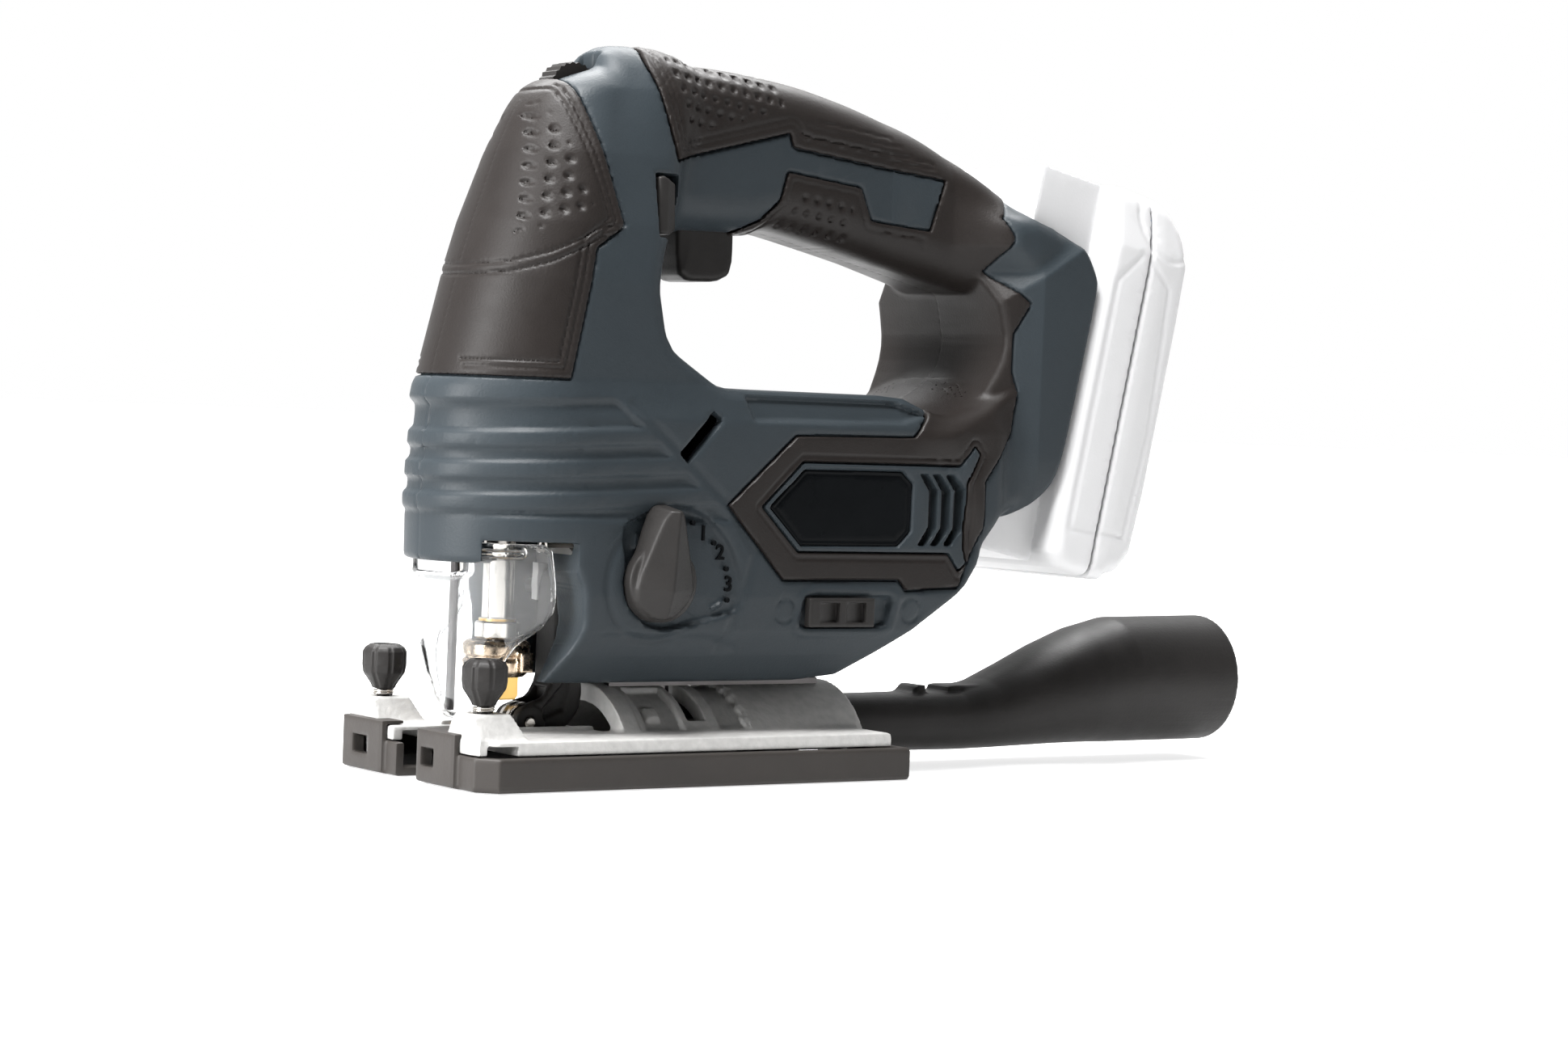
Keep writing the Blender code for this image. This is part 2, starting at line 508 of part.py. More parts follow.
def base():
    corner = 5.0
    front = [(0.6, -37.5 + corner), (0.6 + corner, -37.5), (131.8, -37.5), (131.8, 37.5),
             (0.6 + corner, 37.5), (0.6, 37.5 - corner)]
    low = SOLE_TOP + GAP
    bed = loft("base_plate", [[(x, y, z) for x, y in front] for z in (low, PLATE_TOP)], "aluminium")
    cut(bed, block("tunnel_gap", (ARCH_FRONT - 3, -15, 0), (140, 15, 20)))
    arch = across("arch", arch_profile(ARCH_R, ARCH_R - ARCH_WALL), ARCH_FRONT, ARCH_REAR)
    cut(arch, block("arch_trim", (40, -40, -5), (150, 40, low + 0.6)))
    fuse(bed, arch)
    for tag, side in (("left", -1), ("right", 1)):
        y = side * BOSS_Y
        levels = [(PLATE_TOP - 1, 8.6, 8.2), (PLATE_TOP + 0.4, 8.6, 8.2), (19.6, 5.6, 5.4)]
        rings = [[(BOSS_X - a, y - b, z), (BOSS_X + a, y - b, z), (BOSS_X + a, y + b, z),
                  (BOSS_X - a, y + b, z)] for z, a, b in levels]
        fuse(bed, loft(f"fence_boss_{tag}", rings))
    for tag, side in (("left", -1), ("right", 1)):
        y = side * BOSS_Y
        cut(bed, rod(f"boss_bore_{tag}", (BOSS_X, y, 5), (BOSS_X, y, 25), 2.2, segments=16),
            block(f"fence_slot_{tag}", (3.5, y - 20, 5), (11.5, y + 20, 11.8)))
    sweep = math.radians(50)
    slot = band(30, 12, sweep, 8)
    cut(bed,
        block("blade_slot", (-5, -9, 0), (56, 9, 30)),
        across("tilt_slot", slot, 76.0, 82.0))

    edge = [(0, -SOLE_HALF + corner), (corner, -SOLE_HALF), (SOLE_LENGTH, -SOLE_HALF),
            (SOLE_LENGTH, SOLE_HALF), (corner, SOLE_HALF), (0, SOLE_HALF - corner)]
    shoe = loft("sole", [[(x, y, z) for x, y in edge] for z in (0.0, SOLE_TOP)], "sole_plastic")
    cut(shoe,
        block("sole_pocket", (2.6, -SOLE_HALF + 2.6, 2.4), (SOLE_LENGTH - 2.6, SOLE_HALF - 2.6, 12)),
        block("sole_slot", (-5, -6, -5), (50, 6, 20)),
        block("nozzle_notch", (SOLE_LENGTH - 8, -13, 2.4), (SOLE_LENGTH + 5, 13, 12)))

    for tag, side in (("left", -1), ("right", 1)):
        y = side * BOSS_Y
        turned(f"fence_knob_{tag}", (BOSS_X, y, 12.4), (0, 0, 1),
               [(0, 1.8), (10.0, 1.8), (10.0, 3.2), (11.5, 5.5), (19.5, 5.7), (21, 4.4)],
               "black_plastic", 16)
        ring(f"fence_spring_{tag}", (BOSS_X, y, 19.9), (0, 0, 1), 2.2, 3.0, 2.1, "steel", 16)

    rise = math.radians(27)
    seat = bow(ARCH_R + GAP, rise, 6)
    top = BODY_FLOOR - GAP
    saddle = across("base_saddle", seat + [(seat[-1][0], top), (seat[0][0], top)], 58, 128,
                    "dark_steel")
    cut(saddle, rod("saddle_hole", (79, 0, 15), (79, 0, 30), 3.2, segments=16))
    under = ARCH_R - ARCH_WALL - GAP
    washer = across("tilt_clamp_plate", band(under, under - 2.5, rise, 6), 72, 86, "dark_steel")
    cut(washer, rod("washer_hole", (79, 0, 10), (79, 0, 30), 2.5 + GAP, segments=16))
    turned("tilt_clamp_screw", (79, 0, 12.4), (0, 0, 1),
           [(0, 4.4), (3.4, 4.4), (3.4, 2.4), (26, 2.4)], "dark_steel", 12)


def nozzle():
    """A flattened spigot under the arch that opens into a round hose socket."""
    stations = [(104, 11.4, 7.0, 6.6), (134, 11.4, 7.0, 6.6), (135, 12.3, 11.8, 8.2),
                (180, 12.6, 12.2, 8.6), (192, 14.4, 13.4, 10.0), (204, 17.0, 15.2, 12.4),
                (216, 19.8, 17.0, 15.0), (228, 22.3, 18.4, 17.6), (243, 23.9, 19.1, 19.1),
                (NOZZLE_END, 23.9, 19.1, 19.1)]
    count = 24
    wall = 1.9

    def section(x, z, half_y, half_z, thinner):
        a, b = half_y - thinner, half_z - thinner
        angles = [2 * math.pi * i / count for i in range(count)]
        return [(x, a * math.cos(angle), z + b * math.sin(angle)) for angle in angles]
    outside = [section(*station, 0.0) for station in stations]
    inside = [section(*station, wall) for station in reversed(stations)]
    loft("dust_nozzle", outside + inside, "black_plastic", closed=True)


def guard():
    """The clear chip guard: a bowl in front of the plunger with a wing on each side."""
    thick = 1.5
    # (height, front edge, half width, rear edge)
    levels = [(17.5, 9.8, 12.0, 20.0), (22, 8.6, 15.5, 20.0), (28, 7.2, 19.0, 20.5),
              (33, 6.1, 21.0, 21.0), (38.5, 5.2, 23.0, 24.0), (44, 4.6, 24.2, 28.5),
              (48.7, 4.1, 24.8, 29.5), (55.5, 3.6, 25.2, 28.6)]
    steps = 14

    def plan(z, front, half, rear, inward):
        """From the left rear edge round the front to the right rear edge."""
        middle = front + half
        r = half - inward
        end = math.acos(max(0.0, (middle - rear) / r))
        reach = end if rear > middle else 0.93 * end
        points = [(max(rear, middle - r * math.cos(end)), -r * math.sin(end), z)]
        for i in range(steps + 1):
            a = reach * (2 * i / steps - 1)
            points.append((middle - r * math.cos(a), r * math.sin(a), z))
        points.append((points[0][0], -points[0][1], z))
        return points
    rings = []
    for z, front, half, rear in levels:
        outer = plan(z, front, half, rear, 0.0)
        inner = plan(z, front, half, rear, thick)
        rings.append(outer + inner[::-1])
    bowl = loft("blade_guard", rings, "clear")
    for tag, side in (("left", -1), ("right", 1)):
        y = (side * 24.9, side * 24.0)
        wing = [(20.5, 50.4), (28.6, 50.4), (28.0, 56), (26.8, 63.2), (20.5, 63.2)]
        fuse(bowl, plate(f"guard_wing_{tag}", wing, min(y), max(y)))


# Battery ------------------------------------------------------------------------------------

def battery():
    full = (PACK_LOW, PACK_HIGH)
    split = 17.0
    rear = rail_block("battery_case_rear", full, (split + GAP, PACK_BACK), (-PACK_HALF, PACK_HALF),
                      "pack", 7.0)
    cut(rear, rail_block("rear_room", (PACK_LOW + 2.5, PACK_HIGH - 2.5), (split - 1, PACK_BACK - 2.5),
                         (-PACK_HALF + 2.5, PACK_HALF - 2.5), None, 6.0))
    front = rail_block("battery_case_front", full, (0.8, split), (-PACK_HALF, PACK_HALF), "pack")
    fuse(front, rail_block("tongue", (PACK_LOW + 1, PACK_HIGH - 1), (-TONGUE_DEPTH, 2),
                           (-TONGUE_HALF, TONGUE_HALF)))
    cut(front, rail_block("front_room", (PACK_LOW + 2.5, PACK_HIGH - 2.5), (3.3, split + 1),
                          (-PACK_HALF + 2.5, PACK_HALF - 2.5)),
        rail_block("latch_bay", (PACK_HIGH - 16, PACK_HIGH + 5), (-19, -2), (-16, 16)))
    for number, y in enumerate(CONTACTS_Y):
        cut(front, rail_block(f"contact_slot_{number}", (PACK_LOW - 5, -4), (-30, -13),
                              (y - 1.0, y + 1.0)))
    rail_block("battery_latch", (PACK_HIGH - 11, PACK_HIGH - 0.5), (-18, -3), (-15.4, 15.4), "pack")
    cells = rail_block("battery_cells", (-29, 71), (6, 28), (-30, 30), "cell")
    for number in range(6):
        middle = -29 + 20 * number
        for back in (4.0, 30.0):
            start, end = (rail_point(middle, back, y) for y in (-32, 32))
            cut(cells, rod(f"cell_gap_{number}_{back:.0f}", start, end, 4.0, segments=12))


def set_pivots():
    """Put the origin of every moving piece on its joint's axis, with its mesh left in place."""
    x, z = ORBIT_CENTRE
    pivots = {
        "speed_dial": (DIAL_CENTRE[0], 0, DIAL_CENTRE[1]),
        "orbit_knob": (x, -31, z), "orbit_cam": (x, -31, z),
        "drive_gear": (44, 0, GEAR_Z),
        "rotor_shaft": (80, 0, MOTOR_Z), "armature": (80, 0, MOTOR_Z), "cooling_fan": (80, 0, MOTOR_Z),
        "plunger": (PLUNGER_X, 0, 32), "plunger_yoke": (PLUNGER_X, 0, 32),
        "clamp_ring": (PLUNGER_X, 0, 32),
        "pendulum_fork": (FORK_PIVOT[0], 0, FORK_PIVOT[1]),
        "roller_pin": (FORK_PIVOT[0], 0, FORK_PIVOT[1]),
        "guide_roller": (ROLLER_CENTRE[0], 0, ROLLER_CENTRE[1]),
        "base_plate": (70, 0, 0), "sole": (70, 0, 0),
        "fence_spring_left": (70, 0, 0), "fence_spring_right": (70, 0, 0),
        "fence_knob_left": (BOSS_X, -BOSS_Y, 28), "fence_knob_right": (BOSS_X, BOSS_Y, 28),
        "tilt_clamp_screw": (79, 0, 25)}
    for name, point in pivots.items():
        thing = bpy.data.objects[name]
        place = (Vector(point) - ORIGIN) * MM
        thing.data.transform(Matrix.Translation(-place))
        thing.location = place


def main():
    clear_scene()
    casing()
    grips()
    drive()
    motor()
    plunger()
    orbital()
    controls()
    base()
    nozzle()
    guard()
    battery()
    set_pivots()


main()
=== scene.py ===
"""The looks of the cordless jigsaw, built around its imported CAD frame.

Lengths are millimetres from the middle of the sole's front edge unless a name says otherwise:
the saw cuts towards -X, +Y is the tool's right side and +Z is up. Moulded and cast pieces are
written as distance fields (negative inside) and skinned; turned and wound ones are meshes.
"""
import functools
import math

import bmesh
import bpy
import numpy as np
from mathutils import Matrix, Vector

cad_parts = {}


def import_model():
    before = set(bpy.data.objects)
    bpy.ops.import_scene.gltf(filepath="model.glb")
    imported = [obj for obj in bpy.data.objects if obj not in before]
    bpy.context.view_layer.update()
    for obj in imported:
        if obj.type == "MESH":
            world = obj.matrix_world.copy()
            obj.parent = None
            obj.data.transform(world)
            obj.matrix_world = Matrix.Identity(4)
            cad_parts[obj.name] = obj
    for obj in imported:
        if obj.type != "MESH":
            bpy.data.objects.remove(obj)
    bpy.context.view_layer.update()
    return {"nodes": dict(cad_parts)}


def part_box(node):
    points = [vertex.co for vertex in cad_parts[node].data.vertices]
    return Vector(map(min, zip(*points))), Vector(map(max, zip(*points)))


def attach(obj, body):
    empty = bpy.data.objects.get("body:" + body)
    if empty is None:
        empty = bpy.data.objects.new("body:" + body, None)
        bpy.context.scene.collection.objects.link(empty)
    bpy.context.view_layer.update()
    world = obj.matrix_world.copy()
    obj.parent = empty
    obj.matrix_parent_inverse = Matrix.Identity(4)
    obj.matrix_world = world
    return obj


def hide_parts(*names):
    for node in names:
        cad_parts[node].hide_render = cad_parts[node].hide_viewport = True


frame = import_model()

MM = 0.001
FRONT_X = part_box("sole")[0].x          # where x = 0 lies in the frame, in metres
SIDES = (("left", -1), ("right", 1))


def world(point):
    return Vector((FRONT_X + point[0] * MM, point[1] * MM, point[2] * MM))


def placed(name, data):
    """A new object in the scene."""
    thing = bpy.data.objects.new(name, data)
    bpy.context.scene.collection.objects.link(thing)
    return thing


# Camera, light and floor -------------------------------------

CAMERA_AT = (-450.05, -798.31, 98.11)
CAMERA_TURN = math.radians(35.478)
CAMERA_PITCH = math.radians(1.688)
CAMERA_ROLL = math.radians(2.237)
CAMERA_LENS = 79.587


def camera():
    data = bpy.data.cameras.new("camera")
    data.lens = CAMERA_LENS
    data.sensor_width = 36.0
    data.clip_start = 0.01
    thing = placed("camera", data)
    flat = math.cos(CAMERA_PITCH)
    ahead = Vector((math.sin(CAMERA_TURN) * flat, math.cos(CAMERA_TURN) * flat,
                    -math.sin(CAMERA_PITCH)))
    turn = ahead.to_track_quat("-Z", "Y").to_matrix() @ Matrix.Rotation(CAMERA_ROLL, 3, "Z")
    thing.matrix_world = Matrix.Translation(world(CAMERA_AT)) @ turn.to_4x4()
    bpy.context.scene.camera = thing


def area_light(name, place, aim, size, power):
    data = bpy.data.lights.new(name, "AREA")
    data.shape = "RECTANGLE"
    data.size, data.size_y = size
    data.energy = power
    thing = placed(name, data)
    place, aim = Vector(place), Vector(aim)
    turn = (aim - place).to_track_quat("-Z", "Y").to_matrix().to_4x4()
    thing.matrix_world = Matrix.Translation(place) @ turn


def studio():
    """A white room behind the tool, a dimmer one in front of it and three soft boxes."""
    backdrop = bpy.data.worlds.new("studio")
    backdrop.use_nodes = True
    tree = backdrop.node_tree
    place = tree.nodes.new("ShaderNodeTexCoord")
    away = tree.nodes.new("ShaderNodeVectorMath")
    away.operation = "DOT_PRODUCT"
    away.inputs[1].default_value = (math.sin(CAMERA_TURN), math.cos(CAMERA_TURN), 0.0)
    tree.links.new(place.outputs["Generated"], away.inputs[0])
    level = tree.nodes.new("ShaderNodeMapRange")
    for key, value in (("From Min", -0.35), ("From Max", 0.45), ("To Min", 0.04), ("To Max", 1.0)):
        level.inputs[key].default_value = value
    tree.links.new(away.outputs["Value"], level.inputs["Value"])
    tree.links.new(level.outputs["Result"], tree.nodes["Background"].inputs["Strength"])
    tree.nodes["Background"].inputs["Color"].default_value = (1.0, 1.0, 1.0, 1.0)
    bpy.context.scene.world = backdrop
    bpy.context.scene.view_settings.view_transform = "Standard"
    area_light("front_box", (-1.25, 0.0, 0.42), (-0.02, 0.0, 0.11), (0.55, 0.8), 38.0)
    area_light("top_box", (-0.35, -0.12, 1.15), (0.02, 0.0, 0.1), (0.6, 0.5), 48.0)
    area_light("rim", (0.3, 0.5, 1.0), (0.05, 0.0, 0.1), (1.0, 0.5), 26.0)
    bpy.ops.mesh.primitive_plane_add(size=80.0, location=(0, 0, -0.0003))
    floor = bpy.context.object
    floor.name = "floor"
    pale = bpy.data.materials.new("floor")
    pale.use_nodes = True
    shader = pale.node_tree.nodes["Principled BSDF"]
    shader.inputs["Base Color"].default_value = (0.45, 0.45, 0.45, 1.0)
    shader.inputs["Roughness"].default_value = 0.75
    shader.inputs["Emission Color"].default_value = (1.0, 1.0, 1.0, 1.0)
    shader.inputs["Emission Strength"].default_value = 0.74
    floor.data.materials.append(pale)


# Materials ---------------------------------------------------

# Each surface says what is not as in PLAIN. grain is (noise scale, bump height in metres), mottle
# (noise scale, share of the colour), scuff the spread of the roughness and slot the name in the
# record of the material that it shows.
PLAIN = dict(slot=None, metallic=0.0, grain=(1400, 0.00002), mottle=(60, 0.12), scuff=0.08,
             sockets={})
FINISHES = {
    "housing_plastic": dict(slot="housing", colour=(0.018, 0.023, 0.0268), roughness=0.46,
                            grain=(1500, 0.00005), mottle=(25, 0.05),
                            sockets={"Specular IOR Level": 0.22, "IOR": 1.4}),
    "soft_rubber": dict(slot="rubber", colour=(0.0095, 0.0077, 0.007), roughness=0.46,
                        grain=(1900, 0.00005), mottle=(35, 0.1),
                        sockets={"Specular IOR Level": 0.22, "IOR": 1.4}),
    "black_plastic": dict(slot="black_plastic", colour=(0.015, 0.014, 0.0135), roughness=0.44,
                          grain=(1300, 0.00004), mottle=(50, 0.12),
                          sockets={"Specular IOR Level": 0.2, "IOR": 1.4}),
    "sole_plastic": dict(slot="sole_plastic", colour=(0.020, 0.017, 0.015), roughness=0.55,
                         grain=(900, 0.00004), sockets={"Specular IOR Level": 0.3}),
    "label_black": dict(slot="label", colour=(0.003, 0.0035, 0.004), roughness=0.3,
                        grain=(2500, 0.000005), mottle=(50, 0.1),
                        sockets={"Specular IOR Level": 0.03}),
    "cast_aluminium": dict(slot="aluminium", colour=(0.40, 0.395, 0.385), roughness=0.5,
                           metallic=0.35, grain=(800, 0.00012), mottle=(400, 0.1), scuff=0.12),
    "bright_steel": dict(slot="steel", colour=(0.62, 0.59, 0.55), roughness=0.24, metallic=1.0,
                         grain=(500, 0.00001), mottle=(90, 0.1)),
    "dark_steel": dict(slot="dark_steel", colour=(0.09, 0.085, 0.085), roughness=0.38,
                       metallic=1.0, grain=(700, 0.00002), mottle=(90, 0.15)),
    "warm_steel": dict(slot="clamp_brass", colour=(0.50, 0.40, 0.30), roughness=0.27,
                       metallic=1.0, grain=(500, 0.00001), mottle=(120, 0.15)),
    "bronze": dict(colour=(0.62, 0.40, 0.13), roughness=0.3, metallic=1.0,
                   grain=(500, 0.00001), mottle=(120, 0.12)),
    "copper": dict(colour=(0.60, 0.27, 0.12), roughness=0.35, metallic=1.0,
                   grain=(900, 0.00003), mottle=(200, 0.15)),
    "pack_plastic": dict(slot="pack_plastic", colour=(0.44, 0.44, 0.445), roughness=0.55,
                         grain=(1500, 0.00002), mottle=(20, 0.02)),
    "board_green": dict(colour=(0.03, 0.16, 0.07), roughness=0.4, mottle=(400, 0.3)),
    "cell_sleeve": dict(colour=(0.08, 0.22, 0.40), roughness=0.35, mottle=(80, 0.1)),
    "clear_plastic": dict(slot="clear_plastic", colour=(0.90, 0.91, 0.915), roughness=0.03,
                          grain=(300, 0.0000005), mottle=(30, 0.01), scuff=0.02,
                          sockets={"Transmission Weight": 1.0, "IOR": 1.49}),
}


@functools.cache
def finish(name):
    """A surface with a fine grain, a soft change of tone and an uneven gloss."""
    surface = {**PLAIN, **FINISHES[name]}
    grain, mottle = surface["grain"], surface["mottle"]
    look = bpy.data.materials.new(f"{name}_look")
    look.use_nodes = True
    tree = look.node_tree
    shader = tree.nodes["Principled BSDF"]
    for key, value in {"Metallic": surface["metallic"], **surface["sockets"]}.items():
        shader.inputs[key].default_value = value
    place = tree.nodes.new("ShaderNodeTexCoord")

    def noise(scale, detail):
        node = tree.nodes.new("ShaderNodeTexNoise")
        node.inputs["Scale"].default_value = scale
        node.inputs["Detail"].default_value = detail
        tree.links.new(place.outputs["Object"], node.inputs["Vector"])
        return node.outputs["Fac"]

    tone = tree.nodes.new("ShaderNodeValToRGB")
    for stop, spot, level in zip(tone.color_ramp.elements, (0.3, 0.7),
                                 (1 - mottle[1], 1 + mottle[1])):
        stop.position = spot
        stop.color = (*(min(1.0, c * level) for c in surface["colour"]), 1.0)
    tree.links.new(noise(mottle[0], 3.0), tone.inputs["Fac"])
    tree.links.new(tone.outputs["Color"], shader.inputs["Base Color"])
    gloss = tree.nodes.new("ShaderNodeMapRange")
    gloss.inputs["To Min"].default_value = max(0.02, surface["roughness"] - surface["scuff"])
    gloss.inputs["To Max"].default_value = min(1.0, surface["roughness"] + surface["scuff"])
    tree.links.new(noise(mottle[0] * 4, 4.0), gloss.inputs["Value"])
    tree.links.new(gloss.outputs["Result"], shader.inputs["Roughness"])
    bump = tree.nodes.new("ShaderNodeBump")
    bump.inputs["Distance"].default_value = grain[1]
    bump.inputs["Strength"].default_value = 1.0
    tree.links.new(noise(grain[0], 2.0), bump.inputs["Height"])
    tree.links.new(bump.outputs["Normal"], shader.inputs["Normal"])
    return look


# Distance fields ---------------------------------------------

class Grid:
    """Sample points of a box, as three broadcasting axes in millimetres."""

    def __init__(self, low, high, step):
        self.low = np.array(low, np.float32)
        self.step = step
        axes = [np.arange(a, b + step, step, dtype=np.float32) for a, b in zip(low, high)]
        self.shape = tuple(len(a) for a in axes)
        self.x = axes[0][:, None, None]
        self.y = axes[1][None, :, None]
        self.z = axes[2][None, None, :]
        self.out = np.abs(self.y)


def rise(values, start, end):
    """0 before start, 1 after end, smooth between them."""
    t = np.clip((values - start) / (end - start), 0, 1)
    return t * t * (3 - 2 * t)


def plateau(values, start, high, low, end):
    """0, then 1 from high to low, then 0 again after end."""
    return rise(values, start, high) * (1 - rise(values, low, end))


def join(a, b, soft=0.0):
    """Union of two fields, with a fillet of about the size of soft."""
    if np.isscalar(soft) and soft <= 0:
        return np.minimum(a, b)
    h = np.clip(0.5 + 0.5 * (b - a) / soft, 0, 1)
    return b * (1 - h) + a * h - soft * h * (1 - h)


def meet(a, b, soft=0.0):
    """Intersection of two fields, with a rounded edge."""
    return -join(-a, -b, soft)


def carve(a, b, soft=0.0):
    return meet(a, -b, soft)


def overlap(*fields):
    """Where all the fields have material, with sharp edges."""
    return functools.reduce(np.maximum, fields)


def rounded(flat, across, radius):
    """A slab with a given outline field and side field, its edge rounded by radius."""
    p, q = flat + radius, across + radius
    return np.minimum(np.maximum(p, q), 0) + np.hypot(np.maximum(p, 0), np.maximum(q, 0)) - radius


def segments(points, closed):
    return zip(points, points[1:] + points[:1]) if closed else zip(points, points[1:])


def line_field(points, u, v, closed=False):
    """Distance to a line through the points."""
    best = np.float32(1e12)
    for (ax, ay), (bx, by) in segments(points, closed):
        dx, dy = bx - ax, by - ay
        t = np.clip(((u - ax) * dx + (v - ay) * dy) / (dx * dx + dy * dy + 1e-9), 0, 1)
        best = np.minimum(best, (u - ax - t * dx) ** 2 + (v - ay - t * dy) ** 2)
    return np.sqrt(best)


def outline_field(points, u, v):
    """Signed distance to a closed outline, negative inside."""
    inside = np.zeros(np.broadcast(u, v).shape, bool)
    for (ax, ay), (bx, by) in segments(points, True):
        if ay == by:
            continue
        crosses = (ay > v) != (by > v)
        inside ^= crosses & (u < ax + (v - ay) * (bx - ax) / (by - ay))
    return np.where(inside, -1, 1) * line_field(points, u, v, True)


def side_view(g, points):
    return outline_field(points, g.x, g.z)


def eased(points, rounds=2, share=0.22):
    """An outline with its corners cut again and again into curves."""
    for _ in range(rounds):
        cut = []
        for (ax, ay), (bx, by) in segments(points, True):
            cut.append((ax + share * (bx - ax), ay + share * (by - ay)))
            cut.append((bx + share * (ax - bx), by + share * (ay - by)))
        points = cut
    return points


def between(values, low, high):
    """Distance to a slab between two limits."""
    return np.abs(values - (low + high) / 2) - (high - low) / 2


def box_field(g, low, high):
    """Distance to an upright box, close enough to cut with."""
    return overlap(*map(between, (g.x, g.y, g.z), low, high))


def rod_field(u, v, centre, radius):
    return np.hypot(u - centre[0], v - centre[1]) - radius


def surface_net(values, low, step):
    """Points and four-sided faces on the zero level of a sampled field."""
    shape = np.array(values.shape)
    cells = int(np.prod(shape))
    stride = np.array([shape[1] * shape[2], shape[2], 1])
    sums = [np.zeros(cells, np.float32) for _ in range(4)]
    faces = []
    for axis in range(3):
        first = [slice(None)] * 3
        second = [slice(None)] * 3
        first[axis], second[axis] = slice(0, -1), slice(1, None)
        a, b = values[tuple(first)], values[tuple(second)]
        where = np.array(np.nonzero((a < 0) != (b < 0)))
        start, end = a[tuple(where)], b[tuple(where)]
        place = where.astype(np.float32)
        place[axis] += start / (start - end)
        flat = stride @ where
        u, v = (axis + 1) % 3, (axis + 2) % 3
        around = [flat - du * stride[u] - dv * stride[v]
                  for du, dv in ((0, 0), (1, 0), (1, 1), (0, 1))]
        for cell in around:
            for total, weight in zip(sums, (place[0], place[1], place[2], None)):
                total += np.bincount(cell, weight, cells)
        quads = np.stack(around, 1)
        out = start >= 0
        quads[out] = quads[out][:, ::-1]
        faces.append(quads)
    faces = np.concatenate(faces)
    used = np.flatnonzero(sums[3])
    number = np.full(cells, -1, np.int32)
    number[used] = np.arange(len(used))
    points = np.stack([total[used] / sums[3][used] for total in sums[:3]], 1)
    return points * step + low, number[faces]


def object_from(name, points, faces, look):
    """A mesh object from points in millimetres and faces of one common size."""
    mesh = bpy.data.meshes.new(name)
    points = np.asarray(points, np.float32) * MM
    points[:, 0] += FRONT_X
    faces = np.asarray(faces, np.int32)
    mesh.vertices.add(len(points))
    mesh.vertices.foreach_set("co", points.ravel())
    mesh.loops.add(faces.size)
    mesh.loops.foreach_set("vertex_index", faces.ravel())
    mesh.polygons.add(len(faces))
    starts = np.arange(len(faces), dtype=np.int32) * faces.shape[1]
    mesh.polygons.foreach_set("loop_start", starts)
    mesh.update(calc_edges=True)
    mesh.validate()
    mesh.materials.append(finish(look))
    return placed(name, mesh)


def meshed(thing):
    """A new mesh of what an object's modifiers or text make of it."""
    graph = bpy.context.evaluated_depsgraph_get()
    return bpy.data.meshes.new_from_object(thing.evaluated_get(graph))


def seat(thing, look, body, nodes, sharp):
    """Shade a piece smooth and let it ride on its body, in place of the CAD nodes it shows."""
    thing.data.shade_smooth()
    thing.data.set_sharp_from_angle(angle=math.radians(sharp))
    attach(thing, body)
    if nodes:
        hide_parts(*nodes)


def skin(name, g, field, look, body, nodes=(), keep=1.0, sharp=38):
    """Skin a field, thin it out where it is flat, and seat it."""
    field = np.broadcast_to(field, g.shape).copy()
    for face in (np.s_[:1], np.s_[-1:]):
        for axis in range(3):
            edge = [slice(None)] * 3
            edge[axis] = face
            field[tuple(edge)] = np.maximum(field[tuple(edge)], 0.01 * g.step)
    thing = object_from(name, *surface_net(field, g.low, g.step), look)
    if keep < 1:
        thing.modifiers.new("thin", "DECIMATE").ratio = keep
        full, thing.data = thing.data, meshed(thing)
        thing.modifiers.clear()
        bpy.data.meshes.remove(full)
        thing.data.name = name
    seat(thing, look, body, nodes, sharp)


def wrapped(name, points, faces, look, body, nodes):
    """Seat a piece made of rings of points, with its ends closed to points."""
    thing = object_from(name, points, faces, look)
    tidy = bmesh.new()
    tidy.from_mesh(thing.data)
    bmesh.ops.remove_doubles(tidy, verts=tidy.verts, dist=1e-6)
    bmesh.ops.recalc_face_normals(tidy, faces=tidy.faces)
    tidy.to_mesh(thing.data)
    tidy.free()
    seat(thing, look, body, nodes, 32)


def band(row, count):
    """The faces between one ring of points and the next."""
    here, there = row * count, (row + 1) * count
    return [(here + k, here + (k + 1) % count, there + (k + 1) % count, there + k)
            for k in range(count)]


def turned(name, at, axis, profile, look, body, nodes=(), rings=48):
    """Spin an open (along, radius) profile about an axis through a point."""
    points, faces = [], []
    for along, radius in profile:
        for k in range(rings):
            a = 2 * math.pi * k / rings
            c, s = radius * math.cos(a), radius * math.sin(a)
            offset = {"X": (along, c, s), "Y": (s, along, c), "Z": (c, s, along)}[axis]
            points.append([p + q for p, q in zip(at, offset)])
    for row in range(len(profile) - 1):
        faces += band(row, rings)
    wrapped(name, points, faces, look, body, nodes)


def coil(name, at, radius, wire, low, high, turns, look, body, nodes):
    """A wound spring standing along Z."""
    around, steps = 10, int(turns * 24)
    points, faces = [], []
    for i in range(steps + 1):
        a = 2 * math.pi * turns * i / steps
        z = low + (high - low) * i / steps
        for k in range(around):
            b = 2 * math.pi * k / around
            r = radius + wire * math.cos(b)
            points.append((at[0] + r * math.cos(a), at[1] + r * math.sin(a),
                           z + wire * math.sin(b)))
    for i in range(steps):
        faces += band(i, around)
    wrapped(name, points, faces, look, body, nodes)


# The casing's smooth form ------------------------------------

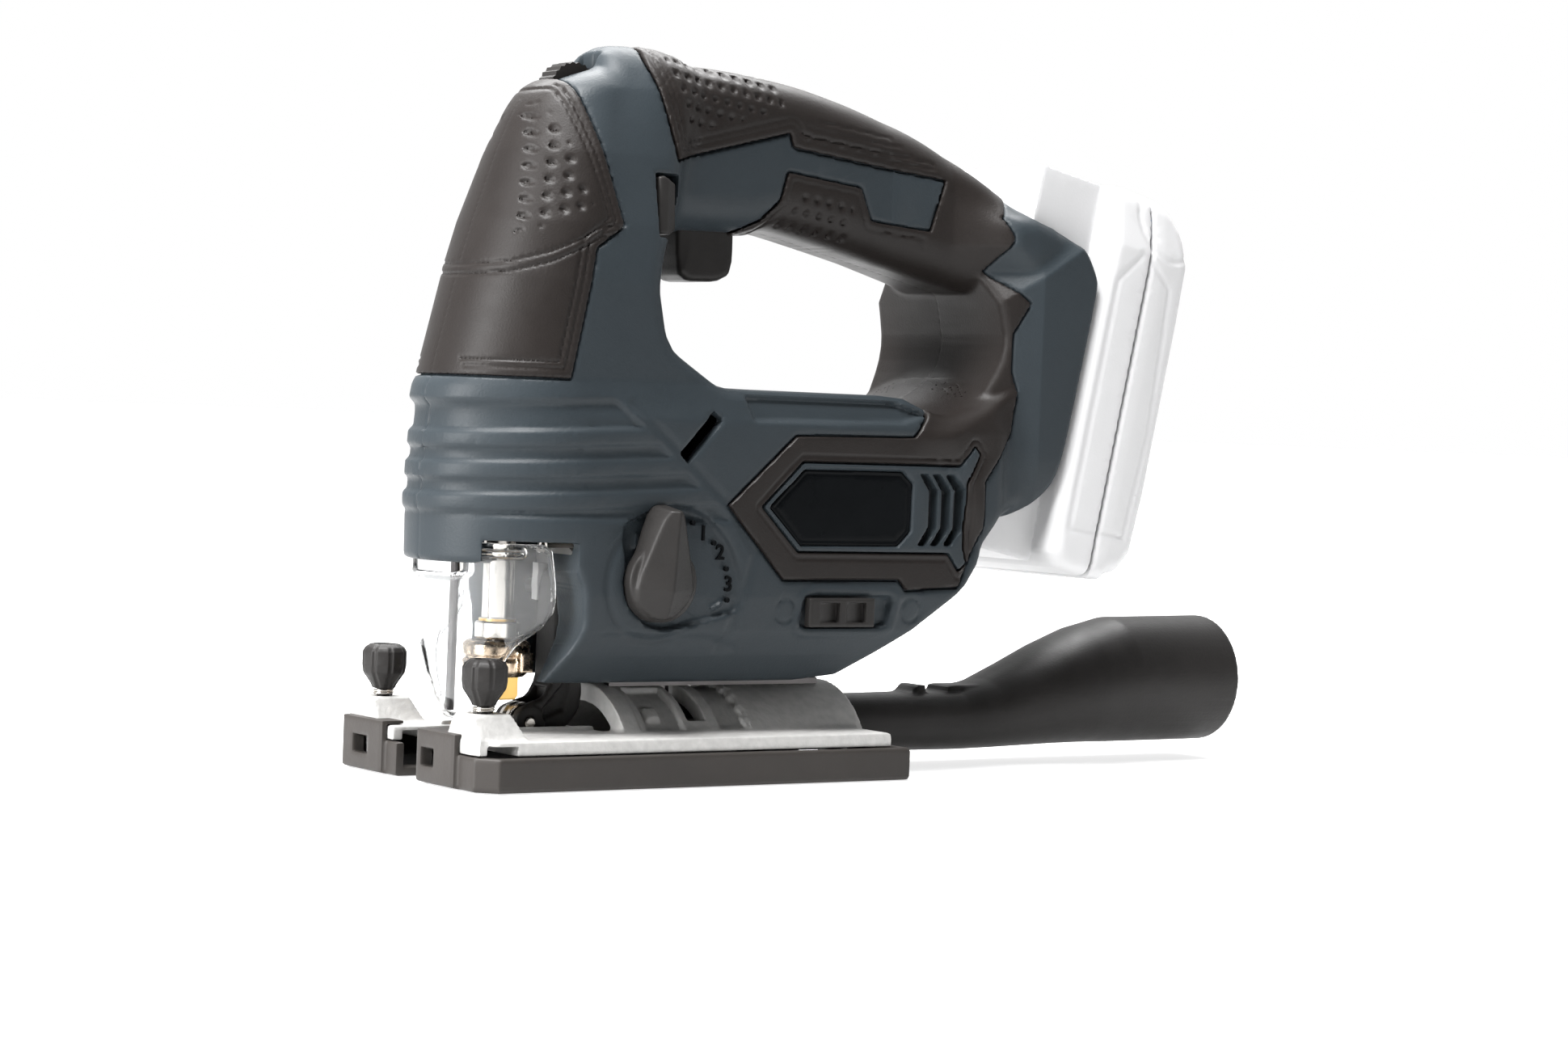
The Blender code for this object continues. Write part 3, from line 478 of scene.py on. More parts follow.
# How the front of the casing runs up the tool: height, then front edge, half width and the depth
# of the round front in plan
HEIGHTS = (24, 26.3, 28, 34, 41, 50, 74, 97, 101, 107, 133, 148, 167, 185, 191, 198)
FRONTS = (0.8, 0.8, 0.8, 0.8, 0.8, 0.8, 0.7, 2.3, 1.8, 3.0, 9.6, 14.2, 20.8, 28.6, 32, 37)
HALVES = (19, 20.4, 21.6, 26, 30, 31.5, 31.5, 31.5, 30.2, 28.5, 28.4, 26.6, 22.5, 16.5, 13, 8)
BOWS = (37, 37, 37, 37, 37, 37, 35, 33, 31, 27, 26.2, 22.7, 21, 19, 18, 16)

TRUNK = [(-30, 57.9), (31, 57.9), (33.7, 52), (34.9, 43.1), (34.3, 38.4), (29.3, 27.7),
         (28.6, 26.4), (121, 26.4), (141, 39), (160, 52.5), (165, 60), (168, 75), (168, 99),
         (150, 101), (138, 106.2), (80, 106.2), (76, 107), (62.5, 115.5), (59.8, 120),
         (57.6, 132), (59.5, 141), (63, 150), (67, 175), (69, 193.3), (62, 195.6), (57, 197.2),
         (52.3, 197.4), (48.5, 195.2), (46.5, 190.6), (37, 187.4), (28.6, 185.1), (-30, 152)]
HANDLE = [(46, 170), (55, 190), (61.6, 194.8), (70, 193.4), (86, 193.3), (103, 191.9),
          (115, 190.2), (132, 186.4), (152, 180.2), (171.4, 169.3), (184, 158), (195, 152),
          (190, 141), (172, 136.5), (160, 139.3), (135, 145), (106, 151), (99.8, 150.7),
          (96.3, 148.9), (75, 148.4), (60, 147.6), (48, 152)]
COLUMN = [(105, 99), (155, 97), (163.5, 71.2), (176, 73.5), (190, 84), (203, 137), (203.4, 142.3),
          (198.5, 151.3), (186.5, 157), (168.5, 157), (150, 150), (105, 150)]
FOOT = [(163.5, 100), (163.5, 71.2), (172.5, 71.8), (179, 73.7), (186, 78.5), (190.2, 83.2),
        (193.8, 94.9), (203.1, 137.6), (203.4, 142.3), (198.3, 151.3), (186.4, 157.1),
        (169, 157.1), (165, 150), (171, 135), (174, 120)]

# The battery rail leans back; along it and behind the foot's rear face
RAIL_LEAN = math.radians(11.6)
RAIL_FOOT = (194.0, 95.0)


def rail_axes(g):
    """Distance up the battery rail, and behind the foot's rear face."""
    x, z = g.x - RAIL_FOOT[0], g.z - RAIL_FOOT[1]
    return (x * math.sin(RAIL_LEAN) + z * math.cos(RAIL_LEAN),
            x * math.cos(RAIL_LEAN) - z * math.sin(RAIL_LEAN))


def oval(ahead, out, bow, half):
    """Distance to a front that is round in plan; ahead is measured from its middle."""
    u, v = ahead / bow, out / half
    reach = np.maximum(np.hypot(u, v), 0.2)
    return (reach - 1) * reach / np.hypot(u / bow, np.maximum(v, 0.05) / half)


def trunk_form(g):
    front = np.interp(g.z, HEIGHTS, FRONTS)
    half = np.interp(g.z, HEIGHTS, HALVES)
    bow = np.interp(g.z, HEIGHTS, BOWS)
    plan = oval(np.maximum(front + bow - g.x, 0), g.out, bow, half)
    soft = np.interp(g.z, (40, 60, 105, 112, 150, 190), (1.5, 1.5, 4, 5, 7, 7))
    return meet(plan, side_view(g, eased(TRUNK, 1, 0.12)), soft)


def handle_form(g):
    half = np.interp(g.x, (60, 75, 140, 160, 182), (17.5, 16.5, 16.5, 19.5, 29))
    return rounded(side_view(g, eased(HANDLE)), g.out - half, 11.0)


def column_form(g):
    """The rear upright of the handle, round in plan towards the fingers."""
    front = np.interp(g.z, (60, 95, 100, 107.8, 112, 116.4, 128.3, 135.3, 142, 150),
                      (120, 140, 150, 162.5, 169, 173, 177, 177.5, 173, 164))
    plan = oval(np.maximum(front + 13 - g.x, 0), g.out, 13, 31.3)
    return meet(plan, side_view(g, eased(COLUMN, 1)), 5.0)


def foot_form(g):
    upper = ((g.z - 141.2) - (g.x - 182.3) * 0.63) * 0.84
    half = (34 - 0.4 * np.maximum(183 - g.x, 0) - 0.8 * np.maximum(upper, 0)
            - 0.012 * np.maximum(92 - g.z, 0) ** 2)
    return rounded(side_view(g, eased(FOOT, 2, 0.2)), (g.out - half) * 0.93, 1.6)


def casing_form(g):
    form = join(trunk_form(g), handle_form(g), 9.0)
    form = join(form, column_form(g), 9.0)
    form = join(form, foot_form(g), 1.5)
    _, behind = rail_axes(g)
    return overlap(form, behind)


# Regions of the soft overmould, seen from the side
NOSE_RUBBER = [(-40, 106.9), (28.8, 106.9), (36, 141.6), (44.6, 147.6), (34.8, 188), (20, 187.4),
               (-40, 160)]
TOP_RUBBER = [(57.6, 192.5), (64.3, 166.8), (104.4, 177.5), (105.8, 173.6), (157.4, 168.1),
              (153, 153.2), (133.3, 154.9), (129.4, 163.9), (104.4, 166.5), (102.3, 158.7),
              (97.4, 152.9), (90.5, 149.2), (96, 138), (150, 120), (150, 112), (150, 108),
              (145, 100.2), (140.4, 94.7), (99.9, 94), (78.2, 74.7), (97, 54.9), (136.6, 55.1),
              (139, 52.2), (157.5, 53.2), (164.5, 69.7), (164.1, 83.2), (174.3, 97.3),
              (176.1, 108.8), (174.3, 114.8), (174.6, 125.6), (179.2, 134.1), (168.9, 142.7),
              (173.8, 152.2), (171.4, 158), (182, 170), (130, 200), (60, 202)]
FRAME = [(88.8, 74.6), (102, 87.2), (155.3, 87.4), (160, 93.2), (162.3, 90.7), (158.3, 82.4),
         (158.8, 64.2), (160.1, 59.8), (157.1, 57.3), (153.1, 62.4), (101.2, 62.4)]
LABEL = [(91.2, 74.6), (102.9, 85.4), (136.5, 85.5), (140.6, 82), (140.2, 68.3), (135.8, 64.1),
         (102, 64.0)]
UPPER_PANEL = [(57.6, 192.5), (64.3, 166.8), (104.4, 177.5), (105.8, 173.6), (160, 167.8),
               (184, 172), (130, 203), (60, 203)]
LOWER_PANEL = [(104.4, 166.5), (129.4, 163.9), (133.3, 154.9), (153, 153.2), (153, 146),
               (120, 130), (86, 140), (90.5, 149.2), (97.4, 152.9), (102.3, 158.7)]
PROUD = 0.45                 # how far the rubber stands above the hard shell
SEAM = 0.45                  # the open line around it
SINK = 1.4                   # how deep its bed is


def rear_rubber_region(g):
    """The handle, column and side panel in one, with the name plate's frame left out."""
    return carve(side_view(g, TOP_RUBBER), side_view(g, FRAME))


def groove(field, distance, width, depth, where=True):
    """Press a rounded line into a field, following a distance from the line's middle."""
    return field + depth * np.clip(1 - (distance / (width / 2)) ** 2, 0, 1) * where


def press(field, region, depth, edge, where=True):
    """Sink a region of a field, over an edge that wide; a negative depth raises it."""
    return field + depth * np.clip(-region / edge, 0, 1) * where


RIBS = ((57, 0), (70.7, 0), (71.7, 1.0), (75.3, 1.1), (76.3, 0), (79.1, 0), (80.1, 1.1),
        (83.7, 1.1), (84.7, 0), (87.3, 0), (88.3, 1.1), (91.7, 1.1), (92.8, -0.2), (98.6, -0.4),
        (100.4, 1.0), (104, 1.0), (106.6, 0.3), (108, 0.2))
DIAL_BED = [(44.0, 69), (50.7, 71.8), (59.6, 75), (67, 74.2), (72.8, 71.9), (79.8, 64.9),
            (84, 55.6), (83.8, 46.3), (77.6, 44.3), (59.4, 40.2), (50.7, 43.6), (47, 53.4)]
SLOT = [(72.8, 99.9), (75.8, 97.6), (64.9, 85.6), (61.9, 88.3)]
WINDOW = [(105.3, 50.9), (135.3, 50.4), (133.8, 41.4), (103.7, 41.2)]
LEDGE = [(83.5, 104.4), (85.8, 97.3), (136.4, 98.3), (147, 101.2), (134, 104.6)]
CREASES = (([(47.5, 101), (78, 75.4), (87.5, 62), (83.5, 49), (79, 36)], 3.4, 0.45),
           ([(42, 39.3), (75, 38.4), (84, 36)], 3.0, 0.3))
DIAL_AT = (56.5, 54.0)
DIAL_BARS = ([(50.6, 66.4), (50.2, 62.8)], [(75.0, 46.9), (77.6, 48.3)])
LOOPS = ((98.6, 46.6), (141.6, 46.7))


def ribs(g, form):
    """Three broad ribs round the front, which run out on a slanting edge at each side."""
    height = g.z - 0.05 * np.maximum(g.x, 0)
    level = np.interp(height, *zip(*RIBS))
    slant = (g.x - 46.3) * 0.645 + (g.z - 99.4) * 0.764
    inside = (1 - rise(slant, -1.6, -0.2)) * plateau(g.z, 57, 59, 105, 107.2)
    sunk = 1.1 * rise(g.out, 8, 24) * rise(g.z, 69.5, 71.5)
    return form + (sunk - level) * inside


def bed_depth(x):
    """How deep the orbit knob's bed lies under the casing's side."""
    return np.interp(x, (46, 84), (3.4, 1.5))


def body_lines(g, form, side):
    """Creases, ledges and recesses of the hard shell."""
    beside, face = g.out > 12, g.out > 20
    form = press(ribs(g, form), side_view(g, LEDGE), 1.5, 0.9, beside)
    for line, width, depth in CREASES:
        form = groove(form, line_field(line, g.x, g.z), width, depth, beside)
    form = press(form, side_view(g, FRAME), -0.5, 0.5, beside)
    form = press(form, side_view(g, LABEL), 1.8, 0.4, beside)
    if side > 0:
        return form
    bed = side_view(g, eased(DIAL_BED, 2, 0.2))
    form = press(form, bed, bed_depth(g.x), 1.1, face)
    form = groove(form, rod_field(g.x, g.z, DIAL_AT, 16), 2.4, 0.5, beside & (bed > 0))
    for bar in DIAL_BARS:
        form = press(form, line_field(bar, g.x, g.z) - 0.75, -1.1, 0.4, face)
    window = side_view(g, eased(WINDOW, 1, 0.1))
    form = press(form, np.abs(window - 1.6) - 1.3, -0.5, 1.3, face)
    form = press(form, window, 2.4, 0.7, face)
    for centre in LOOPS:
        form = groove(form, rod_field(g.x, g.z, centre, 3.3), 1.5, 0.45, beside)
    return form


def shell_openings(g, form, side):
    """Everything that passes through the casing."""
    along, behind = rail_axes(g)
    bay = box_field(g, (15, -16, 10), (41, 16, 66))
    fork_bay = box_field(g, (30, -12, 15), (55, 12, 40))
    notch = overlap(box_field(g, (9, -60, 50), (31.8, 60, 64)), 15.5 - g.out)
    trigger = box_field(g, (73.6, -8, 130), (94.4, 8, 154))
    dial = box_field(g, (35.2, -4.4, 170), (49.2, 4.4, 196))
    channel = overlap(g.out - 25.2, -22.2 - behind, np.abs(along - 25) - 90)
    terminals = overlap(g.out - 16.5, np.abs(behind + 25) - 6, np.abs(along + 15) - 14)
    screw = overlap(rod_field(g.x, g.y, (79, 0), 3.2), g.z - 40)
    slot = overlap(side_view(g, SLOT), 20 - g.out)
    cuts = [bay, fork_bay, notch, trigger, dial, channel, terminals, screw, slot]
    for number in range(3):
        x = 142.4 + 4.5 * number
        vent = [(x, 84.6), (x + 2.7, 84.6), (x + 6.4, 80.2), (x + 6.4, 69.4), (x + 2.6, 64.6),
                (x - 0.2, 64.6), (x + 3.4, 69.8), (x + 3.4, 80)]
        cuts.append(overlap(side_view(g, vent), 26 - g.out))
    if side < 0:
        paddle = box_field(g, (55.9, -30, 145.6), (64.6, -3.5, 162.8))
        shaft = overlap(rod_field(g.x, g.z, DIAL_AT, 3.4), 20 - g.out)
        base = overlap(rod_field(g.x, g.z, DIAL_AT, 11.0), 30.2 - g.out)
        slide = overlap(np.abs(g.x - 119.3) - 15, np.abs(g.z - 46) - 4.5, 30.2 - g.out)
        cuts += [paddle, shaft, base, slide]
    return overlap(form, *(-cut for cut in cuts))


# Each casing screw's x and z, and the casing's half width there
SCREW_WELLS = ((13.5, 117.0, 20.8), (84.0, 97.5, 31.5), (100.0, 34.0, 31.5), (104.0, 183.5, 16.5))
WALL = 2.6


def housing(tag, side):
    g = Grid(*side_box((-2, 24, 206, 199), side), 0.72)
    form = casing_form(g)
    hard = body_lines(g, form, side)
    for region in (side_view(g, NOSE_RUBBER), rear_rubber_region(g)):
        hard = carve(hard, overlap(region - SEAM, -(form + SINK)))
    room = overlap(join(trunk_form(g) + WALL + 1.2, handle_form(g) + WALL + 1.0), g.x - 158)
    backing = np.minimum(side_view(g, DIAL_BED) - 2, side_view(g, LABEL) - 1)
    room = carve(room, overlap(backing, 26.4 - g.out))
    hard = shell_openings(g, carve(hard, room), side)
    if side > 0:
        for x, z, half in SCREW_WELLS:
            boss = overlap(rod_field(g.x, g.z, (x, z), 4.2), g.out - half + 3)
            hard = join(hard, overlap(boss, form + 0.5), 0.5)
            hard = carve(hard, overlap(rod_field(g.x, g.z, (x, z), 3.0), half - 6 - g.out))
            hard = carve(hard, rod_field(g.x, g.z, (x, z), 1.6))
    hard = overlap(hard, 0.1 - g.out)
    skin(f"housing_shell_{tag}", g, hard, "housing_plastic", "casing", [f"housing_{tag}"], 0.4)


def side_box(extent, side, reach=36.0):
    """Opposite corners of a box on one side of the tool from (x0, z0, x1, z1)."""
    x0, z0, x1, z1 = extent
    y0, y1 = sorted((-0.9 * side, reach * side))
    return (x0, y0, z0), (x1, y1, z1)


def dimples(g, region, origin, lean, pitch=4.3, radius=1.2):
    """Depth of a slanted grid of small round dents, kept inside a region."""
    x, z = g.x - origin[0], g.z - origin[1]
    a = (x * math.cos(lean) + z * math.sin(lean)) / pitch
    b = (z * math.cos(lean) - x * math.sin(lean)) / (pitch * 0.95)
    a = a + 0.5 * (np.round(b) % 2)
    reach = pitch * np.hypot(a - np.round(a), b - np.round(b))
    return 0.75 * np.clip(1.3 - 1.3 * (reach / radius) ** 2, 0, 1) * (region < -radius)


def nose_rubber(tag, side):
    g = Grid(*side_box((0, 104, 48, 190), side, 31), 0.55)
    form = casing_form(g)
    region = side_view(g, NOSE_RUBBER)
    top = form - PROUD
    for inset in (2.4, 4.2):
        top = groove(top, region + inset, 0.9, 0.45, (g.x > 6) & (g.z < 185))
    arc = g.z - np.interp(g.x, (2, 9, 16, 24, 32, 38), (134.5, 134.6, 135.8, 138.6, 142.6, 146))
    for lift in (-1.3, 1.3):
        top = groove(top, arc - lift, 0.9, 0.5)
    top = press(top, arc, 0.25, 1.0)
    patch = overlap(region + 6.6, 7.0 - arc, 15 - g.x + (g.z - 148) * 0.3)
    top = top + dimples(g, patch, (30, 160), math.radians(14))
    pad = meet(meet(top, region, 0.5), -(form + SINK - 0.25), 0.3)
    pad = overlap(pad, 0.1 - g.out, -box_field(g, (35.2, -4.4, 170), (60, 4.4, 200)))
    skin(f"nose_rubber_{tag}", g, pad, "soft_rubber", "casing", [f"nose_grip_{tag}"], 0.6)


def rear_rubber(tag, side):
    g = Grid(*side_box((55, 50, 184, 197), side, 35), 0.62)
    form = casing_form(g)
    top = form - PROUD
    on_handle = g.z > 148
    upper, lower = side_view(g, UPPER_PANEL), side_view(g, LOWER_PANEL)
    for panel, inset in ((upper, 2.2), (upper, 3.8), (lower, 2.2)):
        top = groove(top, panel + inset, 0.9, 0.45, on_handle & (g.x < 154))
    lean = math.radians(-8)
    top = top + dimples(g, overlap(upper + 5.0, g.x - 103), (75, 185), lean, 4.0)
    top = top + dimples(g, overlap(lower + 3.8, g.x - 128), (110, 160), lean, 4.2)
    for step in (0.0, 3.0, 6.0):
        flow = line_field([(107 + step, 178 - step * 0.4), (112 + step, 176.6 - step * 0.2),
                           (146 - step, 173.8 - step * 0.1)], g.x, g.z - step * 0.9)
        top = groove(top, flow, 0.9, 0.35, on_handle)
    top = groove(top, side_view(g, FRAME) - 1.6, 1.0, 0.4, g.z < 100)
    pad = meet(meet(top, rear_rubber_region(g), 0.5), -(form + SINK - 0.25), 0.3)
    _, behind = rail_axes(g)
    pad = overlap(pad, -overlap(g.out - 25.2, -22.2 - behind), 0.1 - g.out)
    nodes = [f"handle_grip_{tag}", f"rear_grip_{tag}"]
    if side < 0:
        nodes.append("handle_grip_top")
    skin(f"grip_rubber_{tag}", g, pad, "soft_rubber", "casing", nodes, 0.5)


def name_plate(tag, side):
    g = Grid(*side_box((88, 61, 143, 89), side, 33.5), 0.45)
    form = casing_form(g)
    face = side_view(g, LABEL) + 0.3
    rim = line_field(LABEL, g.x, g.z, True)
    top = groove(form + 0.25, np.abs(rim - 1.6), 0.7, 0.3)
    plate = meet(overlap(top, -(form + 1.25)), face, 0.3)
    skin(f"name_plate_{tag}", g, plate, "label_black", "casing", [f"label_plate_{tag}"], 0.35)


# Controls ----------------------------------------------------

KNOB_ARM = [(-4.2, 17), (-2.2, 20.2), (1.8, 20.4), (3.6, 18.4), (9.4, -0.6), (8.4, -5.0),
            (2.6, -9.8), (-3.8, -10.2), (-9.0, -6.0), (-9.8, -0.6)]


def orbit_knob():
    g = Grid((44, -42, 41), (69, -28.6, 76.5), 0.4)
    x, z = g.x - DIAL_AT[0], g.z - DIAL_AT[1]
    disc = rounded(np.hypot(x, z) - 10.6, g.out - 34.4, 1.0)
    arm = outline_field(eased(KNOB_ARM, 1, 0.16), x, z) + 0.16 * (g.out - 33)
    ridge = 0.6 + 0.06 * (z - 20)
    top = 40.4 - 0.55 * np.abs(x - ridge) - 0.30 * np.maximum(-2 - z, 0)
    knob = join(disc, meet(arm, (g.out - top) * 0.87, 0.7), 0.8)
    knob = overlap(knob, 30.4 - g.out)
    skin("orbit_knob_moulding", g, knob, "black_plastic", "orbit", ["orbit_knob"], 0.6)


def dial_figures():
    """The three stages beside the orbit knob, in black, with dots between them."""
    for text, x, z in (("1", 71.4, 67.0), ("2", 76.9, 61.9), ("3", 79.8, 53.4)):
        curve = bpy.data.curves.new("figure", "FONT")
        curve.body = text
        curve.size = 5.7 * MM
        curve.offset = 0.1 * MM
        curve.extrude = 0.4 * MM
        curve.align_x, curve.align_y = "CENTER", "CENTER"
        curve.resolution_u = 4
        written = placed("figure", curve)
        bpy.context.view_layer.update()
        figure = placed(f"stage_{text}", meshed(written))
        bpy.data.objects.remove(written)
        figure.matrix_world = (Matrix.Translation(world((x, -31.6 + bed_depth(x), z)))
                               @ Matrix.Rotation(math.pi / 2, 4, "X"))
        figure.data.materials.clear()
        figure.data.materials.append(finish("label_black"))
        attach(figure, "casing")
    dot = [(-0.5, 0), (-0.5, 0.5), (-0.3, 0.7), (0.6, 0.7), (0.6, 0)]
    for number, (x, z) in enumerate(((67.6, 69.9), (74.4, 64.6), (78.6, 57.7), (79.2, 49.3))):
        turned(f"stage_dot_{number}", (x, -32.5 + bed_depth(x), z), "Y", dot, "label_black",
               "casing", rings=16)


def blower_slider():
    g = Grid((104, -34.4, 40.8), (128.6, -29.6, 51.2), 0.3)
    slab = rounded(overlap(np.abs(g.x - 116.25) - 11.2, np.abs(g.z - 46) - 4.0),
                   g.out - 33.3, 0.7)
    for x in (112.0, 121.0):
        dent = overlap(np.abs(g.x - x) - 3.3, np.abs(g.z - 46) - 2.7)
        slab = carve(slab, overlap(dent, 32.2 - 0.25 * (g.x - x) - g.out), 0.3)
    slab = overlap(slab, 30.75 - g.out)
    skin("blower_slider_moulding", g, slab, "black_plastic", "blower", ["blower_slider"], 0.5)


PADDLE = [(56.7, 161.6), (58.2, 162.1), (62.9, 160.2), (63.6, 148.0), (61.2, 146.5), (57.2, 146.6)]
TRIGGER = [(74.4, 158), (93.4, 158), (93.7, 142), (92.6, 137.6), (88.5, 135.6), (79, 135.2),
           (75.7, 137.2), (74.7, 143)]


def lock_paddle():
    g = Grid((55.4, -25.5, 145.5), (65, -7, 163.2), 0.35)
    flat = side_view(g, PADDLE)
    slope = (g.out - (24.4 - 0.45 * np.maximum(g.x - 59.5, 0))) * 0.93
    paddle = overlap(meet(flat, slope, 0.9), 8.0 - g.out)
    skin("lock_paddle", g, paddle, "black_plastic", "lock", ["lock_button"], 0.5)


def trigger():
    g = Grid((73.4, -8, 134.2), (95, 8, 158.6), 0.45)
    lever = rounded(side_view(g, eased(TRIGGER, 1, 0.15)), g.out - 7.0, 1.8)
    ring = np.hypot(g.x - 60, g.z - 146)
    lever = lever + 0.5 * np.clip(1 - ((ring - 15.5) / 3) ** 2, 0, 1)
    skin("trigger_lever", g, lever, "black_plastic", "trigger", ["trigger"], 0.6)


def casing_screws():
    for number, (x, z, half) in enumerate(SCREW_WELLS):
        seat = half - 5.5
        g = Grid((x - 3.2, seat - 9, z - 3.2), (x + 3.2, seat + 3, z + 3.2), 0.22)
        u, v = g.x - x, g.z - z
        turn = np.arctan2(v, u)
        head = rounded(np.hypot(u, v) - 2.7, np.abs(g.y - seat - 1) - 1.0, 0.5)
        star = np.hypot(u, v) - 1.25 - 0.3 * np.cos(6 * turn)
        head = carve(head, overlap(star, seat + 0.7 - g.y))
        shank = overlap(np.hypot(u, v) - 1.3, np.abs(g.y - seat + 4) - 4.2)
        nodes = [f"casing_screw_{number + 1}"]
        skin(f"star_screw_{number + 1}", g, np.minimum(head, shank), "dark_steel", "casing",
             nodes, 0.6)


# Blade drive -------------------------------------------------

def plunger_rod():
    collar = [(-9, 0), (-9, 1.8), (5, 1.8), (5, 5.3), (5.6, 5.9), (9.3, 5.9), (9.8, 5.4),
              (9.8, 4.7), (10.6, 4.7), (10.8, 4.2), (50, 4.2), (101, 4.2), (102, 3.3), (102, 0)]
    turned("plunger_rod", (26, 0, 32), "Z", collar, "bright_steel", "plunger", ["plunger"], 56)
    turned("brass_line", (26, 0, 42.1), "Z", [(-0.45, 4.3), (-0.45, 4.95), (0.35, 4.95),
                                             (0.35, 4.3)], "bronze", "plunger")
    g = Grid((23, -5.2, 19.8), (32.2, 5.2, 28), 0.35)
    jaw = overlap(np.abs(g.x - 27.6) - 3.4, g.out - 3.9, np.abs(g.z - 24) - 3.3)
    jaw = carve(jaw, overlap(g.out - 0.8, g.z - 26))
    chamfer = (np.abs(g.x - 27.6) - 3.4 + (21.9 - g.z) * 0.9)
    skin("blade_jaw", g, overlap(jaw, chamfer * 0.74), "bronze", "plunger", keep=0.7)


def clamp_collar():
    g = Grid((16.2, -12.4, 26.4), (36, 9.8, 37.6), 0.32)
    u, v = g.x - 26, g.y
    reach = np.hypot(u, v)
    side = np.interp(g.z, (26.8, 28.2, 30.6, 31.3, 31.8, 32.5, 33, 35.6, 36.9),
                     (7.4, 8.7, 9.1, 9.1, 8.5, 8.5, 9.1, 9.1, 7.7))
    collar = overlap(reach - side, np.abs(g.z - 31.8) - 4.8)
    lever = overlap(np.abs(g.x - 29) - 1.9, np.abs(g.y + 8) - 3.4, np.abs(g.z - 31.2) - 2.6)
    collar = join(collar, lever, 0.8)
    collar = carve(collar, reach - 2.1)
    skin("clamp_collar", g, collar, "warm_steel", "clamp", ["clamp_ring"], 0.7, 30)


FORK = [(29.6, 12.5), (31.2, 10.1), (34, 9.3), (40, 10.6), (46, 13.2), (49.6, 17.5), (50.6, 23),
        (49.2, 30), (49.0, 42), (49.2, 52), (48.4, 55), (46, 56.3), (42.4, 54.5), (41.4, 50),
        (41.2, 32), (41.2, 26), (38.6, 21.2), (34.5, 20), (30.7, 18.2)]
ROLLER_AT = (34.0, 14.6)
FORK_AT = (46.0, 52.0)


def pendulum():
    g = Grid((28.4, -6.2, 8.2), (52, 6.2, 57.6), 0.42)
    fork = rounded(side_view(g, eased(FORK, 1, 0.2)), g.out - 5.3, 0.9)
    fork = join(fork, overlap(rod_field(g.x, g.z, ROLLER_AT, 4.6), g.out - 5.75), 0.4)
    dish = side_view(g, [(38, 15), (45, 17.5), (46.6, 24), (46.4, 48), (44, 48), (43.8, 25),
                         (38, 18.5)])
    fork = press(fork, dish, 1.2, 0.8, g.out > 3)
    fork = carve(fork, box_field(g, (26, -3.1, 5), (41, 3.1, 24)))
    fork = carve(fork, rod_field(g.x, g.z, ROLLER_AT, 1.75))
    fork = carve(fork, rod_field(g.x, g.z, FORK_AT, 1.9))
    skin("pendulum_fork_casting", g, fork, "black_plastic", "pendulum", ["pendulum_fork"], 0.6)
    roller = [(-2.7, 1.95), (-2.7, 4.8), (-2.3, 5.3), (-1.0, 5.3), (-0.5, 4.5), (0.5, 4.5),
              (1.0, 5.3), (2.3, 5.3), (2.7, 4.8), (2.7, 1.95), (-2.7, 1.95)]
    turned("grooved_roller", (34, 0, 14.6), "Y", roller, "bright_steel", "roller",
           ["guide_roller"], 56)
    pin = [(-6.1, 0), (-6.1, 1.2), (-5.8, 1.6), (5.8, 1.6), (6.1, 1.2), (6.1, 0)]
    turned("roller_axle", (34, 0, 14.6), "Y", pin, "bright_steel", "pendulum", ["roller_pin"], 32)


# Base --------------------------------------------------------

PLATE_EDGE = [(0.6, -32.5), (5.6, -37.5), (131.8, -37.5), (131.8, 37.5), (5.6, 37.5), (0.6, 32.5)]
SOLE_EDGE = [(0, -34.5), (5, -39.5), (137, -39.5), (137, 39.5), (5, 39.5), (0, 34.5)]
BOSS = (7.0, 26.7)
ARCH = 24.5
# Where the sole hooks over the plate: across from, across to, window from, window to
HOOKS = ((-26.5, -6.6, -15.6, -9.2), (12.0, 34.0, 20.0, 28.0))


